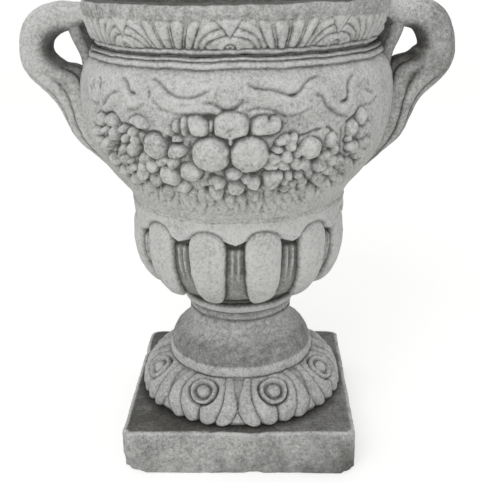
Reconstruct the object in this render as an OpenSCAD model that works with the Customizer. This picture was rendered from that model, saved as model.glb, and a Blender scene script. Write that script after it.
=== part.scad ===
// Classical cast-concrete garden urn on a square plinth, with two curled handles.
// It is built from cast sections bedded on each other and clamped by a hollow drain tube.
// Front is -Y, the handles stand on the X axis, and the ground is z = 0.

/* [Plinth] */
// Side of the square plinth at its top edge
plinth_w = 305; // [290:1:340]
// Height of the plinth
plinth_h = 60; // [50:1:80]
// How much each side of the plinth leans out towards the ground
plinth_draft = 1.5; // [0:0.5:4]
// Radius of the plinth's upright corners
plinth_corner = 10; // [4:1:20]
// Bevel along the plinth's top edge
plinth_bevel = 3; // [1:0.5:6]

/* [Leaf foot] */
// Outer radius of the carved foot
foot_r = 141; // [130:1:144]
// Radius of the foot's flat top
foot_top_r = 99; // [90:1:108]
// Height of the foot
foot_h = 48; // [40:1:60]
// Number of leaves round the foot
leaf_count = 8; // [6:1:10]
// Tongues in each leaf
leaf_tongues = 5; // [3:2:7]
// Depth of the grooves between tongues
leaf_groove = 4; // [2:0.5:5]
// Radius of the ring round each leaf's eye
eye_r = 14; // [9:0.5:15]

/* [Stem] */
// Radius of the disc on top of the foot
disc_r = 101; // [95:1:110]
// Height of the disc's upright edge
disc_edge_h = 13; // [8:1:18]
// Radius of the neck
neck_r = 70; // [60:1:76]
// Height of the whole stem
stem_h = 70; // [60:1:90]

/* [Gadrooned bowl] */
// Outer radius over the gadroon lobes
bowl_r = 142.5; // [135:0.5:146]
// Height of the gadrooned section
bowl_h = 161; // [150:1:180]
// Height of the ring under the lobes
ring_h = 20; // [14:1:24]
// Height of the plain band above the darts
waist_band_h = 31; // [26:1:36]
// Number of gadroon lobes
lobe_count = 12; // [10:1:14]
// Depth of the sunk ground between lobes
lobe_depth = 9; // [5:0.5:11]
// Thickness of the bowl's floor
floor_t = 48; // [44:1:56]

/* [Garland body] */
// Largest radius of the plain body
body_r = 200; // [190:1:206]
// Height of the garland section
body_h = 196; // [180:1:210]
// Radius of the fillet on the shoulder
shoulder_r = 186; // [178:1:190]
// Wall thickness of the bowl, body and rim
wall = 22; // [16:1:26]
// Radius of the large apples in the garland
apple_r = 22; // [21:0.5:25]

/* [Rim] */
// Outer radius of the lip
lip_r = 192; // [186:1:198]
// Height of the rim section
rim_h = 55; // [50:1:65]
// Height of the plain lip above the palmettes
lip_h = 10; // [6:1:14]
// Number of palmettes round the rim
palmette_count = 9; // [7:1:10]
// Relief of the palmette tongues
tongue_relief = 3.5; // [2:0.5:5]
// Wire radius of the hoop in the rim joint
hoop_wire_r = 4; // [2:0.5:5]

/* [Handles] */
// Farthest reach of a handle from the urn's axis
handle_reach = 278; // [262:1:290]
// Half width of the handle strap
strap_half_w = 29; // [22:1:32]
// Depth of the twisted strands
strand_depth = 2.5; // [1:0.5:4]
// Radius of the handle dowels
dowel_r = 5; // [4:0.5:6]
// Length of the handle dowels
dowel_len = 36; // [30:1:40]

/* [Drain tube] */
// Outer radius of the drain tube
tube_r = 13.45; // [12:0.05:15]
// Wall of the drain tube
tube_wall = 2.65; // [2:0.05:3.5]
// Outer radius of the clamping washers
washer_r = 24; // [22:0.5:26]
// Thickness of the clamping washers
washer_t = 3; // [2:0.5:5]
// Width of the nuts across their flats
nut_af = 36; // [34:1:38]
// Height of the nuts
nut_h = 9; // [7:0.5:11]

/* [Fits] */
// Thickness of each mortar bed
bed_t = 2; // [1:0.5:4]
// How far a mortar bed is raked back from the face
bed_rake = 0.5; // [0:0.5:4]
// Clearance round the drain tube in the castings
tube_gap = 1.5; // [0.5:0.5:3]
// Clearance of threads and grouted dowels
grout_gap = 0.2; // [0.1:0.05:0.4]
// Joint between a handle and the urn's side
handle_joint = 0.3; // [0.2:0.1:1]

/* [Hidden] */
$fn = 96;
eps = 0.05;

stone = [0.72, 0.72, 0.71];
mortar = [0.60, 0.60, 0.58];
zinc = [0.66, 0.68, 0.70];

// Levels, from the ground up
foot_z = plinth_h + bed_t;
disc_z = foot_z + foot_h + bed_t;
bowl_z = disc_z + stem_h + bed_t;
body_z = bowl_z + bowl_h + bed_t;
rim_z = body_z + body_h + bed_t;
top_z = rim_z + rim_h;
floor_z = bowl_z + floor_t;

bore_r = tube_r + tube_gap;
pocket_r = washer_r + 3;
pocket_h = nut_h + washer_t + 8;

// A cubic curve through its two end points
function bez(p, t) = pow(1 - t, 3) * p[0] + 3 * pow(1 - t, 2) * t * p[1]
    + 3 * (1 - t) * t * t * p[2] + t * t * t * p[3];
function curve(p, n) = [for (i = [0:n]) bez(p, i / n)];

// A point on a ring, with its angle counted from the front towards +X
function polar(r, a, z) = [r * sin(a), -r * cos(a), z];

// Closes a stack of rings, each with the same number of points, into a solid
module skin(rings) {
    n = len(rings[0]);
    m = len(rings);
    polyhedron(
        points = [for (ring = rings) each ring],
        faces = concat(
            [[for (i = [0:n - 1]) i]],
            [for (j = [0:m - 2], i = [0:n - 1])
                each let (a = j * n + i, b = j * n + (i + 1) % n) [[a, a + n, b + n], [a, b + n, b]]],
            [[for (i = [n - 1:-1:0]) (m - 1) * n + i]]));
}

// Places children on the body's surface, their +Z pointing outwards
module on_side(r, a, z, lean = 0, spin = 0) {
    translate(polar(r, a, z)) rotate([90 - lean, 0, a]) rotate([0, 0, spin]) children();
}

module tube_bore(low, high) {
    translate([0, 0, low - 1]) cylinder(r = bore_r, h = high - low + 2);
}

// One mortar bed, raked back from the face of the joint
module bed(r, z) {
    difference() {
        translate([0, 0, z]) cylinder(r = r - bed_rake, h = bed_t);
        tube_bore(z, z + bed_t);
    }
}

// Plinth

function plinth_outline() = [
    [-plinth_w / 2 - plinth_draft, 0],
    [plinth_w / 2 + plinth_draft, 0],
    [plinth_w / 2, plinth_h - plinth_bevel],
    [plinth_w / 2 - plinth_bevel, plinth_h],
    [-plinth_w / 2 + plinth_bevel, plinth_h],
    [-plinth_w / 2, plinth_h - plinth_bevel]];

module plinth_block() {
    reach = plinth_w + 4 * plinth_draft + 2;
    side = plinth_w + 2 * plinth_draft - 2 * plinth_corner;
    intersection() {
        rotate([90, 0, 0]) linear_extrude(reach, center = true) polygon(plinth_outline());
        rotate([90, 0, 90]) linear_extrude(reach, center = true) polygon(plinth_outline());
        linear_extrude(plinth_h) union() {
            square([side, side + 2 * plinth_corner], center = true);
            square([side + 2 * plinth_corner, side], center = true);
            for (x = [-1, 1], y = [-1, 1]) translate([x, y] * side / 2) circle(r = plinth_corner);
        }
    }
}

module plinth() {
    color(stone) difference() {
        plinth_block();
        tube_bore(0, plinth_h);
        translate([0, 0, -1]) cylinder(r = pocket_r, h = pocket_h + 1);
    }
}

module plinth_bed() { color(mortar) bed(foot_r - 2 * leaf_groove, plinth_h); }

// Leaf foot: a quarter-round cushion whose tongues are a rounded wave round the ring.
// A tongue's tip covers the line between two leaves, and a groove runs down from each eye.

foot_toe_h = 6;
foot_rise = foot_h - foot_toe_h;
tongue_steps = 6;
foot_cols = leaf_count * leaf_tongues * tongue_steps;
foot_rows = 5;

function tongue_wave(i) = abs(cos(180 * (i % tongue_steps) / tongue_steps));
function foot_r_at(t) = foot_top_r + (foot_r - foot_top_r) * cos(90 * t);
function foot_ring(t, z, fade) = [for (i = [0:foot_cols - 1])
    polar(foot_r_at(t) - leaf_groove * fade * (1 - tongue_wave(i)), 360 * i / foot_cols, z)];

module eye(a) {
    tilt = 50;
    r = foot_top_r + (foot_r - foot_top_r) * cos(tilt);
    z = foot_z + foot_toe_h + foot_rise * sin(tilt);
    on_side(r - 2, a, z, tilt) {
        rotate_extrude() translate([eye_r - 2, 0]) circle(r = 2.4);
        translate([0, 0, -1]) sphere(r = eye_r / 2.4);
    }
}

module leaf_foot() {
    color(stone) difference() {
        union() {
            skin(concat(
                [foot_ring(0, foot_z, 1)],
                [for (k = [0:foot_rows - 1]) let (t = k / foot_rows)
                    foot_ring(t, foot_z + foot_toe_h + foot_rise * sin(90 * t), 1 - t / 2)],
                [foot_ring(1, foot_z + foot_h, 0)]));
            for (k = [0:leaf_count - 1]) eye((k + 0.5) * 360 / leaf_count);
        }
        tube_bore(foot_z, foot_z + foot_h);
    }
}

module foot_bed() { color(mortar) bed(foot_top_r, foot_z + foot_h); }

// Stem: disc with an upright edge, then a hollow flare up to the neck

module stem() {
    edge_z = disc_z + disc_edge_h;
    flare_z = edge_z + 25;
    color(stone) difference() {
        rotate_extrude() polygon(concat(
            [[0, disc_z], [disc_r, disc_z]],
            curve([[disc_r, edge_z], [disc_r - 1, edge_z + 14], [disc_r - 6, flare_z - 1],
                [disc_r - 12, flare_z]], 6),
            curve([[disc_r - 14, flare_z + 1], [disc_r - 20, flare_z + 8], [neck_r, flare_z + 10],
                [neck_r, flare_z + 18]], 6),
            [[neck_r, disc_z + stem_h], [0, disc_z + stem_h]]));
        tube_bore(disc_z, disc_z + stem_h);
    }
}

module neck_bed() { color(mortar) bed(neck_r - 2, disc_z + stem_h); }

// Gadrooned bowl: each column of the skin climbs the bowl's quarter ellipse to the arch over its lobe

lobe_cols = [-15, -12.8, -11, -10.2, -7.5, -4, 0, 4, 7.5, 10.2, 11, 12.8] / 30;
lobe_edge = 10.6 / 30;
arch_drop = 14;
lobe_rows = 8;
belly_z = bowl_z + bowl_h - waist_band_h - 20;
belly_foot_z = bowl_z + ring_h + 2;
dart_z = bowl_z + bowl_h - waist_band_h;
ring_r = neck_r + 2;

function belly_r(z) = z >= belly_z ? bowl_r - 1.5 * (z - belly_z) / (bowl_z + bowl_h - belly_z)
    : ring_r + (bowl_r - ring_r) * sqrt(max(0, 1 - pow((belly_z - z) / (belly_z - belly_foot_z), 2)));
function lobe_bulge(c) = abs(c) < lobe_edge ? sqrt(1 - pow(c / lobe_edge, 2)) : 0;
function rib_rise(c) = abs(abs(c) - 12.8 / 30) < 0.01 ? 0.45 : 0;
function lobe_cut(c) = lobe_depth * (1 - max(lobe_bulge(c), rib_rise(c)));
function arch_z(c) = abs(c) < lobe_edge ? dart_z + arch_drop * lobe_bulge(c) + 6 : dart_z;
function lobe_ring(t, cut, lift) = [for (k = [0:lobe_count - 1], c = lobe_cols)
    let (z = belly_foot_z + (arch_z(c) - belly_foot_z) * t + lift)
        polar(belly_r(z) - lobe_cut(c) * cut, (k + 0.5 + c) * 360 / lobe_count, z)];
function plain_ring(r, z) = [for (k = [0:lobe_count - 1], c = lobe_cols)
    polar(r, (k + 0.5 + c) * 360 / lobe_count, z)];

module gadrooned_bowl() {
    inner_r = bowl_r - wall;
    color(stone) difference() {
        skin(concat(
            [plain_ring(ring_r - 4, bowl_z), plain_ring(ring_r, bowl_z + 5),
                plain_ring(ring_r, bowl_z + ring_h - 6), plain_ring(ring_r - 4, bowl_z + ring_h)],
            [for (k = [1:lobe_rows]) let (t = 1 - cos(90 * k / lobe_rows))
                lobe_ring(t, min(1, 3 * t), 0)],
            [lobe_ring(1, 0, 2), plain_ring(belly_r(bowl_z + bowl_h), bowl_z + bowl_h)]));
        rotate_extrude() polygon(concat(
            [[0, floor_z], [inner_r * 0.55, floor_z]],
            curve([[inner_r * 0.62, floor_z + 2], [inner_r * 0.9, floor_z + 8],
                [inner_r, floor_z + 34], [inner_r, floor_z + 74]], 8),
            [[inner_r, bowl_z + bowl_h + 1], [0, bowl_z + bowl_h + 1]]));
        tube_bore(bowl_z, floor_z);
        translate([0, 0, floor_z - pocket_h]) cylinder(r = pocket_r, h = pocket_h + 1);
    }
}

// A bed between two hollow sections
module hollow_bed(r, z) {
    difference() {
        translate([0, 0, z]) cylinder(r = r - bed_rake, h = bed_t);
        translate([0, 0, z - 1]) cylinder(r = r - wall + bed_rake, h = bed_t + 2);
    }
}

module waist_bed() { color(mortar) hollow_bed(belly_r(bowl_z + bowl_h), bowl_z + bowl_h); }

// Garland body: one profile gives the outside and, moved in by the wall, the inside

body_top_z = body_z + body_h;
waist_r = belly_r(bowl_z + bowl_h);
swell_z = body_z + body_h * 0.68;
shoulder_z = body_top_z - 10;
groove_r = shoulder_r - 14;

function swell(inset) = concat(
    curve([[waist_r - inset, body_z], [waist_r - inset, body_z + 25],
        [body_r - inset, body_z + 48], [body_r - inset, swell_z]], 14),
    curve([[body_r - inset, swell_z + 1], [body_r - inset, swell_z + 26],
        [body_r - inset - 4, shoulder_z - 9], [shoulder_r - inset - 2, shoulder_z]], 8));
function body_outline() = concat(swell(0),
    [[shoulder_r, shoulder_z + 1], [shoulder_r, shoulder_z + 5], [groove_r + 2, shoulder_z + 6],
        [groove_r + 2, shoulder_z + 9], [groove_r, body_top_z]]);

// Outer radius of the body at a height, read off its swelling curve
function body_r_at(z) = lookup(z, [for (p = swell(0)) [p[1], p[0]]]);

module leaf(len, fat, h) {
    bow = (len * len / 4 + fat * fat / 4) / fat;
    linear_extrude(h) intersection() {
        translate([bow - fat / 2, 0]) circle(r = bow);
        translate([fat / 2 - bow, 0]) circle(r = bow);
    }
}

module fruit(a, z, r, proud) { translate(polar(body_r_at(z) + proud - r, a, z)) sphere(r = r); }

module blossom(a, z, r, petals) {
    on_side(body_r_at(z), a, z) {
        for (k = [0:petals - 1]) rotate([0, 0, k * 360 / petals])
            translate([r * 0.62, 0, 0]) sphere(r = r * 0.42);
        translate([0, 0, 2]) sphere(r = r * 0.36);
    }
}

// A ribbon that waves along the side of the body
module ribbon(dir) {
    steps = 16;
    half = 5;
    skin([for (i = [0:steps]) let (u = i / steps, a = dir * (4 + 44 * u),
        z = swell_z + 18 + 11 * cos(560 * u), r = body_r_at(z)) [
            polar(r - 3, a, z - dir * half), polar(r + 4, a, z - dir * half / 2),
            polar(r + 4, a, z + dir * half / 2), polar(r - 3, a, z + dir * half)]]);
}

garland_z = body_z + 94;

module garland() {
    for (s = [-1, 1]) fruit(s * 5.8, garland_z, apple_r, apple_r * 0.66);
    fruit(-26, garland_z + 8, apple_r * 0.74, 11);
    fruit(25.6, garland_z + 5, apple_r * 0.7, 10);
    for (p = [[-22, -28], [-13.4, -22], [-30, -16], [15, -26], [30, -32]])
        fruit(p[0], garland_z + p[1], apple_r * 0.5, 8);
    blossom(2.5, garland_z - 44, 25, 8);
    blossom(-33, garland_z + 14, 14, 5);
    blossom(-44, garland_z + 16, 17, 5);
    blossom(19, garland_z + 6, 14, 5);
    blossom(22.5, garland_z - 33, 15, 6);
    blossom(43, garland_z + 14, 16, 5);
    for (a = [-14, -7, 0, 7, 14])
        on_side(body_r_at(garland_z + 32) - 5, a, garland_z + 32, 0, -a) leaf(34, 22, 12);
    for (k = [-5:5]) let (z = garland_z - 70 + abs(k) * 3)
        on_side(body_r_at(z) - 6, 1 + k * 6.5, z, -38, -k * 5) leaf(34, 13, 10);
    ribbon(-1);
    ribbon(1);
}

module garland_body() {
    color(stone) difference() {
        union() {
            rotate_extrude() polygon(concat([[0, body_z]], body_outline(), [[0, body_top_z]]));
            garland();
            rotate([0, 0, 180]) garland();
        }
        rotate_extrude() polygon(concat([[0, body_z - 1], [waist_r - wall, body_z - 1]], swell(wall),
            [[groove_r - wall, body_top_z + 1], [0, body_top_z + 1]]));
        all_dowels(grout_gap);
    }
}

module rim_bed() { color(mortar) hollow_bed(groove_r, body_top_z); }

// Rim: a flared band of tongues with a seed and two volutes at each palmette

rim_steps = 24;
rim_cols = palmette_count * rim_steps;
band_low_z = rim_z + 6.5;
band_high_z = top_z - lip_h;
band_low_r = groove_r + 8;
tongue_fade = 3;

// Columns in half a palmette's sunk ground, and in each of the tongues between two palmettes
palmette_half = 4;
tongue_cols = 4;
function tongue_rise(i) = let (j = i % rim_steps)
    j < palmette_half || j > rim_steps - palmette_half || j % tongue_cols == 0 ? 0 : 1;
function band_ring(r, z, relief) = [for (i = [0:rim_cols - 1])
    polar(r + tongue_relief * relief * (tongue_rise(i) - 1), 360 * i / rim_cols, z)];

module palmette(a) {
    on_side(band_low_r, a, band_low_z + 7, -12) {
        sphere(r = 5.5);
        for (s = [-1, 1]) translate([s * 10, 5, 0]) rotate_extrude() translate([5, 0]) circle(r = 2.2);
        translate([0, 15, 1]) rotate_extrude() translate([7, 0]) circle(r = 2.4);
    }
}

module rim_band() {
    groove_in = groove_r - wall / 2 - hoop_wire_r - 0.5;
    groove_out = groove_r - wall / 2 + hoop_wire_r + 0.5;
    color(stone) difference() {
        union() {
            skin([band_ring(groove_r, rim_z, 0), band_ring(groove_r + 6, rim_z + 1.5, 0),
                band_ring(groove_r + 6, rim_z + 5, 0), band_ring(band_low_r, band_low_z, 0),
                band_ring(band_low_r + 1, band_low_z + tongue_fade, 1),
                band_ring(lip_r - 2, band_high_z - tongue_fade, 1), band_ring(lip_r, band_high_z, 0),
                band_ring(lip_r, top_z - 2, 0), band_ring(lip_r - 2, top_z, 0)]);
            for (k = [0:palmette_count - 1]) let (a = k * 360 / palmette_count)
                if (abs(cos(a)) > 0.2) palmette(a);
        }
        rotate_extrude() polygon([[0, rim_z - 1], [groove_r - wall, rim_z - 1],
            [groove_r - wall, rim_z + 4], [lip_r - wall, top_z - 6], [lip_r - wall + 3, top_z + 1],
            [0, top_z + 1]]);
        translate([0, 0, rim_z - 1]) difference() {
            cylinder(r = groove_out, h = 2 * hoop_wire_r + 1.5);
            translate([0, 0, -1]) cylinder(r = groove_in, h = 2 * hoop_wire_r + 4);
        }
        all_dowels(grout_gap);
    }
}

module rim_hoop() {
    color(zinc) translate([0, 0, rim_z + hoop_wire_r]) rotate_extrude()
        translate([groove_r - wall / 2, 0]) circle(r = hoop_wire_r);
}

// Handles: a strap swept along three curves, thick where it swells and twisted along its tail

strap_sides = 16;
top_root_z = band_high_z - 11;
peak_r = handle_reach - 16;
tail_z = body_z + body_h * 0.13;

function strap_path(t) = t < 1 ? bez([[lip_r - 6, top_root_z], [peak_r - 43, top_root_z + 6],
        [peak_r - 3, top_root_z - 1], [peak_r, top_root_z - 43]], t)
    : t < 2 ? bez([[peak_r, top_root_z - 43], [peak_r + 2, top_root_z - 79],
        [peak_r - 34, top_root_z - 99], [peak_r - 51, top_root_z - 119]], t - 1)
    : bez([[peak_r - 51, top_root_z - 119], [peak_r - 59, top_root_z - 136],
        [body_r_at(tail_z + 30) + 12, tail_z + 30], [body_r_at(tail_z) + 4, tail_z]], t - 2);
function strap_thick(t) = lookup(t, [[0, 17], [0.5, 16], [1, 16], [1.4, 20], [1.75, 23], [2, 20],
    [2.5, 14], [3, 8]]);
function strap_width(t) = strap_half_w * lookup(t, [[0, 0.85], [1, 1], [2, 0.95], [3, 0.55]]);
function strap_dir(t) = let (d = strap_path(min(3, t + 0.02)) - strap_path(max(0, t - 0.02))) d / norm(d);
function strap_ring(t, side) = let (c = strap_path(t), d = strap_dir(t), out = [-d[1], d[0]])
    [for (i = [0:strap_sides - 1]) let (a = side * 360 * i / strap_sides,
        cut = strand_depth * max(0, t - 1.3) / 1.7 * (1 - cos(4 * a + 200 * t)) / 2,
        p = c + out * (strap_thick(t) - cut) * sin(a)) [side * p[0], (strap_width(t) - cut) * cos(a), p[1]]];

module strap(side) {
    steps = 36;
    skin([for (k = [0:steps]) strap_ring(3 * k / steps, side)]);
}

// The pointed spur that runs down from the strap's top root, over the groove, to the shoulder
spur_low = [shoulder_r + 2, shoulder_z - 12];
function spur_path(u) = bez([[lip_r + 12, top_root_z - 8], [lip_r + 2, top_root_z - 26],
    [groove_r + 12, rim_z + 4], spur_low], u);
function spur_ring(u, side) = let (c = spur_path(u), d = spur_path(u + 0.02) - spur_path(u - 0.02),
    out = [-d[1], d[0]] / norm(d)) [for (i = [0:7]) let (a = side * 45 * i,
        p = c + out * (8 - 4 * u) * sin(a)) [side * p[0], strap_half_w * (0.75 - 0.4 * u) * cos(a), p[1]]];

module spur(side) {
    steps = 6;
    skin([for (k = [0:steps]) spur_ring(k / steps, side)]);
}

// The shape that a handle's back is scribed to
module urn_side() {
    rotate_extrude() polygon(concat([[0, body_z]], [for (p = swell(0)) p + [handle_joint, 0]],
        [[shoulder_r + handle_joint, shoulder_z], [shoulder_r + handle_joint, shoulder_z + 6],
            [groove_r + 6 + handle_joint, rim_z], [groove_r + 8 + handle_joint, band_low_z],
            [lip_r + handle_joint, band_high_z - tongue_fade], [lip_r + handle_joint, top_z + 1],
            [0, top_z + 1]]));
}

module handle(side) {
    color(stone) difference() {
        union() {
            strap(side);
            spur(side);
        }
        urn_side();
        all_dowels(grout_gap);
    }
}

module left_handle() { handle(-1); }
module right_handle() { handle(1); }

lower_dowel_z = body_z + body_h * 0.42;

module all_dowels(gap) {
    for (s = [0, 180]) rotate([0, 0, s]) {
        translate([lip_r - 16 - gap, 0, top_root_z]) rotate([0, 90, 0])
            cylinder(r = dowel_r + gap, h = dowel_len + 2 * gap);
        translate([body_r_at(lower_dowel_z) - 16 - gap, 0, lower_dowel_z]) rotate([0, 90, 0])
            cylinder(r = dowel_r + gap, h = dowel_len + 2 * gap);
    }
}

module handle_dowels() { color(zinc) all_dowels(0); }

// Drain tube, clamped between the pocket under the plinth and the pocket in the bowl's floor

tube_low_z = pocket_h - washer_t - nut_h - 3;
tube_high_z = floor_z - pocket_h + washer_t + nut_h + 3;

module drain_tube() {
    color(zinc) difference() {
        translate([0, 0, tube_low_z]) cylinder(r = tube_r, h = tube_high_z - tube_low_z);
        translate([0, 0, tube_low_z - 1]) cylinder(r = tube_r - tube_wall, h = tube_high_z - tube_low_z + 2);
    }
}

module clamp_ring(z, h, sides) {
    difference() {
        translate([0, 0, z]) if (sides == 6) cylinder(r = nut_af / sqrt(3), h = h, $fn = 6);
            else cylinder(r = washer_r, h = h);
        translate([0, 0, z - 1]) cylinder(r = tube_r + grout_gap, h = h + 2);
    }
}

module tube_washers() {
    color(zinc) {
        clamp_ring(pocket_h - washer_t, washer_t, 0);
        clamp_ring(floor_z - pocket_h, washer_t, 0);
    }
}

module tube_nuts() {
    color(zinc) {
        clamp_ring(pocket_h - washer_t - nut_h, nut_h, 6);
        clamp_ring(floor_z - pocket_h + washer_t, nut_h, 6);
    }
}

plinth();
plinth_bed();
leaf_foot();
foot_bed();
stem();
neck_bed();
gadrooned_bowl();
waist_bed();
garland_body();
rim_bed();
rim_band();
rim_hoop();
left_handle();
right_handle();
handle_dowels();
drain_tube();
tube_washers();
tube_nuts();
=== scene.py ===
import bpy
import math
import numpy as np
from mathutils import Matrix, Vector


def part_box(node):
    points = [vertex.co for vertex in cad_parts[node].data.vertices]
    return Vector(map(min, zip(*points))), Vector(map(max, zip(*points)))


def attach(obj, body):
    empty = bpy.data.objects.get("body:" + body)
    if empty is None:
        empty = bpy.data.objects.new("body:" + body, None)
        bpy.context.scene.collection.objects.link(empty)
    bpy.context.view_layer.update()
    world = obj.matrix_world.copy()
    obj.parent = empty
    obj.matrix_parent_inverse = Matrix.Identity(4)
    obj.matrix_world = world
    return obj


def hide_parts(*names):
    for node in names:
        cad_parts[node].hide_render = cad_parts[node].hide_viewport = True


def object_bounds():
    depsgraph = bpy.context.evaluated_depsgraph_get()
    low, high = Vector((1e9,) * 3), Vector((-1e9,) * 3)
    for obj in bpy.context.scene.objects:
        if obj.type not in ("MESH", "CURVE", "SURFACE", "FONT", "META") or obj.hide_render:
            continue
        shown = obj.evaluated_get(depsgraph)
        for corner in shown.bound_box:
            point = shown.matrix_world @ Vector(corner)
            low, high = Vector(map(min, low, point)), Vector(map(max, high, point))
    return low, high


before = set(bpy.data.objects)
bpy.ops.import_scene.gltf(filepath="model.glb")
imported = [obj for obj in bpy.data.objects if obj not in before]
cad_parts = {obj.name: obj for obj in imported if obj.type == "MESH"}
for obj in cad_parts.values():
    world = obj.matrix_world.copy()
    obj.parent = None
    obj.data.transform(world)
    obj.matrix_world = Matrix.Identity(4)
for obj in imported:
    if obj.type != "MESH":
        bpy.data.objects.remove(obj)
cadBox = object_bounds()
mm = 0.001


# Shared helpers

def nodeBox(name):
    low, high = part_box(name)
    return np.array(low) / mm, np.array(high) / mm


def hexColour(code, alpha=1.0):
    parts = [int(code[i:i + 2], 16) / 255 for i in (1, 3, 5)]
    linear = [c / 12.92 if c <= 0.04045 else ((c + 0.055) / 1.055) ** 2.4 for c in parts]
    return (*linear, alpha)


def addNode(tree, kind, inputs=None, **settings):
    made = tree.nodes.new(kind)
    for name, value in settings.items():
        setattr(made, name, value)
    for name, value in (inputs or {}).items():
        socket = made.inputs[name]
        if isinstance(value, bpy.types.NodeSocket):
            tree.links.new(value, socket)
        else:
            socket.default_value = value
    return made


def smooth(low, high, value):
    t = np.clip((value - low) / (high - low), 0, 1)
    return t * t * (3 - 2 * t)


def dome(u):
    return np.sqrt(np.clip(1 - u * u, 0, 1))


def hump(x, width):  # 1 at 0, falling away on both sides
    return np.exp(-(x / width) ** 2)


def bezier(points, steps):
    t = np.linspace(0, 1, steps + 1)[:, None]
    a, b, c, d = np.array(points, float)
    return (1 - t) ** 3 * a + 3 * (1 - t) ** 2 * t * b + 3 * (1 - t) * t * t * c + t ** 3 * d


def evenSteps(points, step):  # a profile walked in even steps, with its length so far
    points = np.array(points, float)
    run = np.concatenate([[0], np.cumsum(np.hypot(*np.diff(points, axis=0).T))])
    count = max(2, int(round(run[-1] / step)))
    at = np.linspace(0, run[-1], count + 1)
    return np.stack([np.interp(at, run, points[:, k]) for k in (0, 1)], 1), at


def turned(profile, angles, lift, closing):
    # rows of points up the outside, lifted off it in mm, then the rows that close the loop inside
    along = np.gradient(profile, axis=0)
    along /= np.linalg.norm(along, axis=1)[:, None]
    lift = np.broadcast_to(lift, (len(profile), len(angles)))
    r = profile[:, :1] + along[:, 1:] * lift
    z = profile[:, 1:] - along[:, :1] * lift
    inner = np.array(closing, float)
    r = np.concatenate([r, np.repeat(inner[:, :1], len(angles), 1)])
    z = np.concatenate([z, np.repeat(inner[:, 1:], len(angles), 1)])
    turn = np.radians(angles)[None, :]
    return np.stack([r * np.sin(turn), -r * np.cos(turn), z], -1)


def turnBy(points, degrees):
    a = math.radians(degrees)
    x, y = points[..., 0], points[..., 1]
    across = x * math.cos(a) - y * math.sin(a)
    deep = x * math.sin(a) + y * math.cos(a)
    return np.stack([across, deep, points[..., 2]], -1)


def blurAxis(values, sigma, axis):
    reach = int(3 * sigma) + 1
    taps = np.exp(-0.5 * (np.arange(-reach, reach + 1) / max(sigma, 0.01)) ** 2)
    taps /= taps.sum()
    total = np.zeros_like(values)
    for k, weight in zip(range(-reach, reach + 1), taps):
        total += weight * np.roll(values, k, axis)
    return total


def gridNormals(points):
    across = np.gradient(points, axis=1)
    up = np.gradient(points, axis=0)
    normal = np.cross(across, up)
    return normal / np.maximum(np.linalg.norm(normal, axis=-1, keepdims=True), 1e-9)


def creases(points, step):  # how deep each point lies below its surroundings, 0 proud to 1 in a crevice
    normal = gridNormals(points)
    depth = np.zeros(points.shape[:2])
    for reach, strength in ((1.6, 0.3), (3.2, 0.8), (6.0, 0.95), (12.0, 0.8)):
        blurred = blurAxis(blurAxis(points, reach / step, 0), reach / step, 1)
        depth += strength * np.sum((blurred - points) * normal, -1) / reach
    return depth


def hollows(points, sector, step):  # the same on a sector, with its neighbours on both sides
    pad = min(points.shape[1] - 1, int(30 / step))
    before = turnBy(points[:, -pad - 1:-1], -sector)
    after = turnBy(points[:, 1:pad + 1], sector)
    wide = np.concatenate([before, points, after], 1)
    ends = min(len(points) - 1, int(36 / step) + 1)
    wide = np.pad(wide, ((ends, ends), (0, 0), (0, 0)), "reflect", reflect_type="odd")
    return creases(wide, step)[ends:-ends, pad:pad + points.shape[1]]


def gridMesh(name, points, wrap=False, caps=False, fields=None):
    rows, cols = points.shape[:2]
    spot = np.arange(rows * cols).reshape(rows, cols)
    above = np.roll(spot, -1, 0)
    if wrap:
        quads = np.stack([spot, np.roll(spot, -1, 1), np.roll(above, -1, 1), above], -1)
    else:
        quads = np.stack([spot[:, :-1], spot[:, 1:], above[:, 1:], above[:, :-1]], -1)
    faces = quads.reshape(-1, 4).tolist()
    if caps:
        faces += [spot[:, 0].tolist(), spot[::-1, -1].tolist()]
    mesh = bpy.data.meshes.new(name)
    mesh.from_pydata((points.reshape(-1, 3) * mm).tolist(), [], faces)
    for field, values in (fields or {}).items():
        layer = mesh.attributes.new(field, "FLOAT", "POINT")
        layer.data.foreach_set("value", values.astype(np.float32).ravel())
    mesh.polygons.foreach_set("use_smooth", [True] * len(mesh.polygons))
    piece = bpy.data.objects.new(name, mesh)
    bpy.context.scene.collection.objects.link(piece)
    return piece


def waves(points, size, seed):  # slow random swells through space, about -1 to 1
    rng = np.random.default_rng(seed)
    total = np.zeros(points.shape[:-1])
    for _ in range(14):
        way = rng.normal(size=3)
        way *= 2 * math.pi / (size * rng.uniform(0.7, 1.5) * np.linalg.norm(way))
        total += np.sin(points @ way + rng.uniform(0, 2 * math.pi))
    return total / 3.7


handWork = {  # reach and size in mm of each kind of unevenness
    "sag": 0.5, "sagSize": 70, "dab": 0.28, "dabSize": 16, "grit": 0.1, "gritSize": 4.5, "inset": 0.05,
}


def weather(piece, amount=1.0):  # the uneven surface that a rammed casting comes out with
    co = np.empty(len(piece.data.vertices) * 3, np.float32)
    piece.data.vertices.foreach_get("co", co)
    points = co.reshape(-1, 3).astype(float) / mm
    shift = np.zeros_like(points)
    for k in range(3):
        for size, reach in (("sagSize", "sag"), ("dabSize", "dab"), ("gritSize", "grit")):
            shift[:, k] += handWork[reach] * waves(points, handWork[size], 11 + 7 * k + int(handWork[size]))
    low, high = np.array(cadBox) / mm
    inset = handWork["inset"]   # it never goes past the casting's overall size
    points = np.clip(points + amount * shift, low + inset, high - inset)
    piece.data.vertices.foreach_set("co", (points * mm).astype(np.float32).ravel())
    piece.data.update()


def seat(piece, slot, *nodes):
    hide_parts(*nodes)
    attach(piece, "root")


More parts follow.
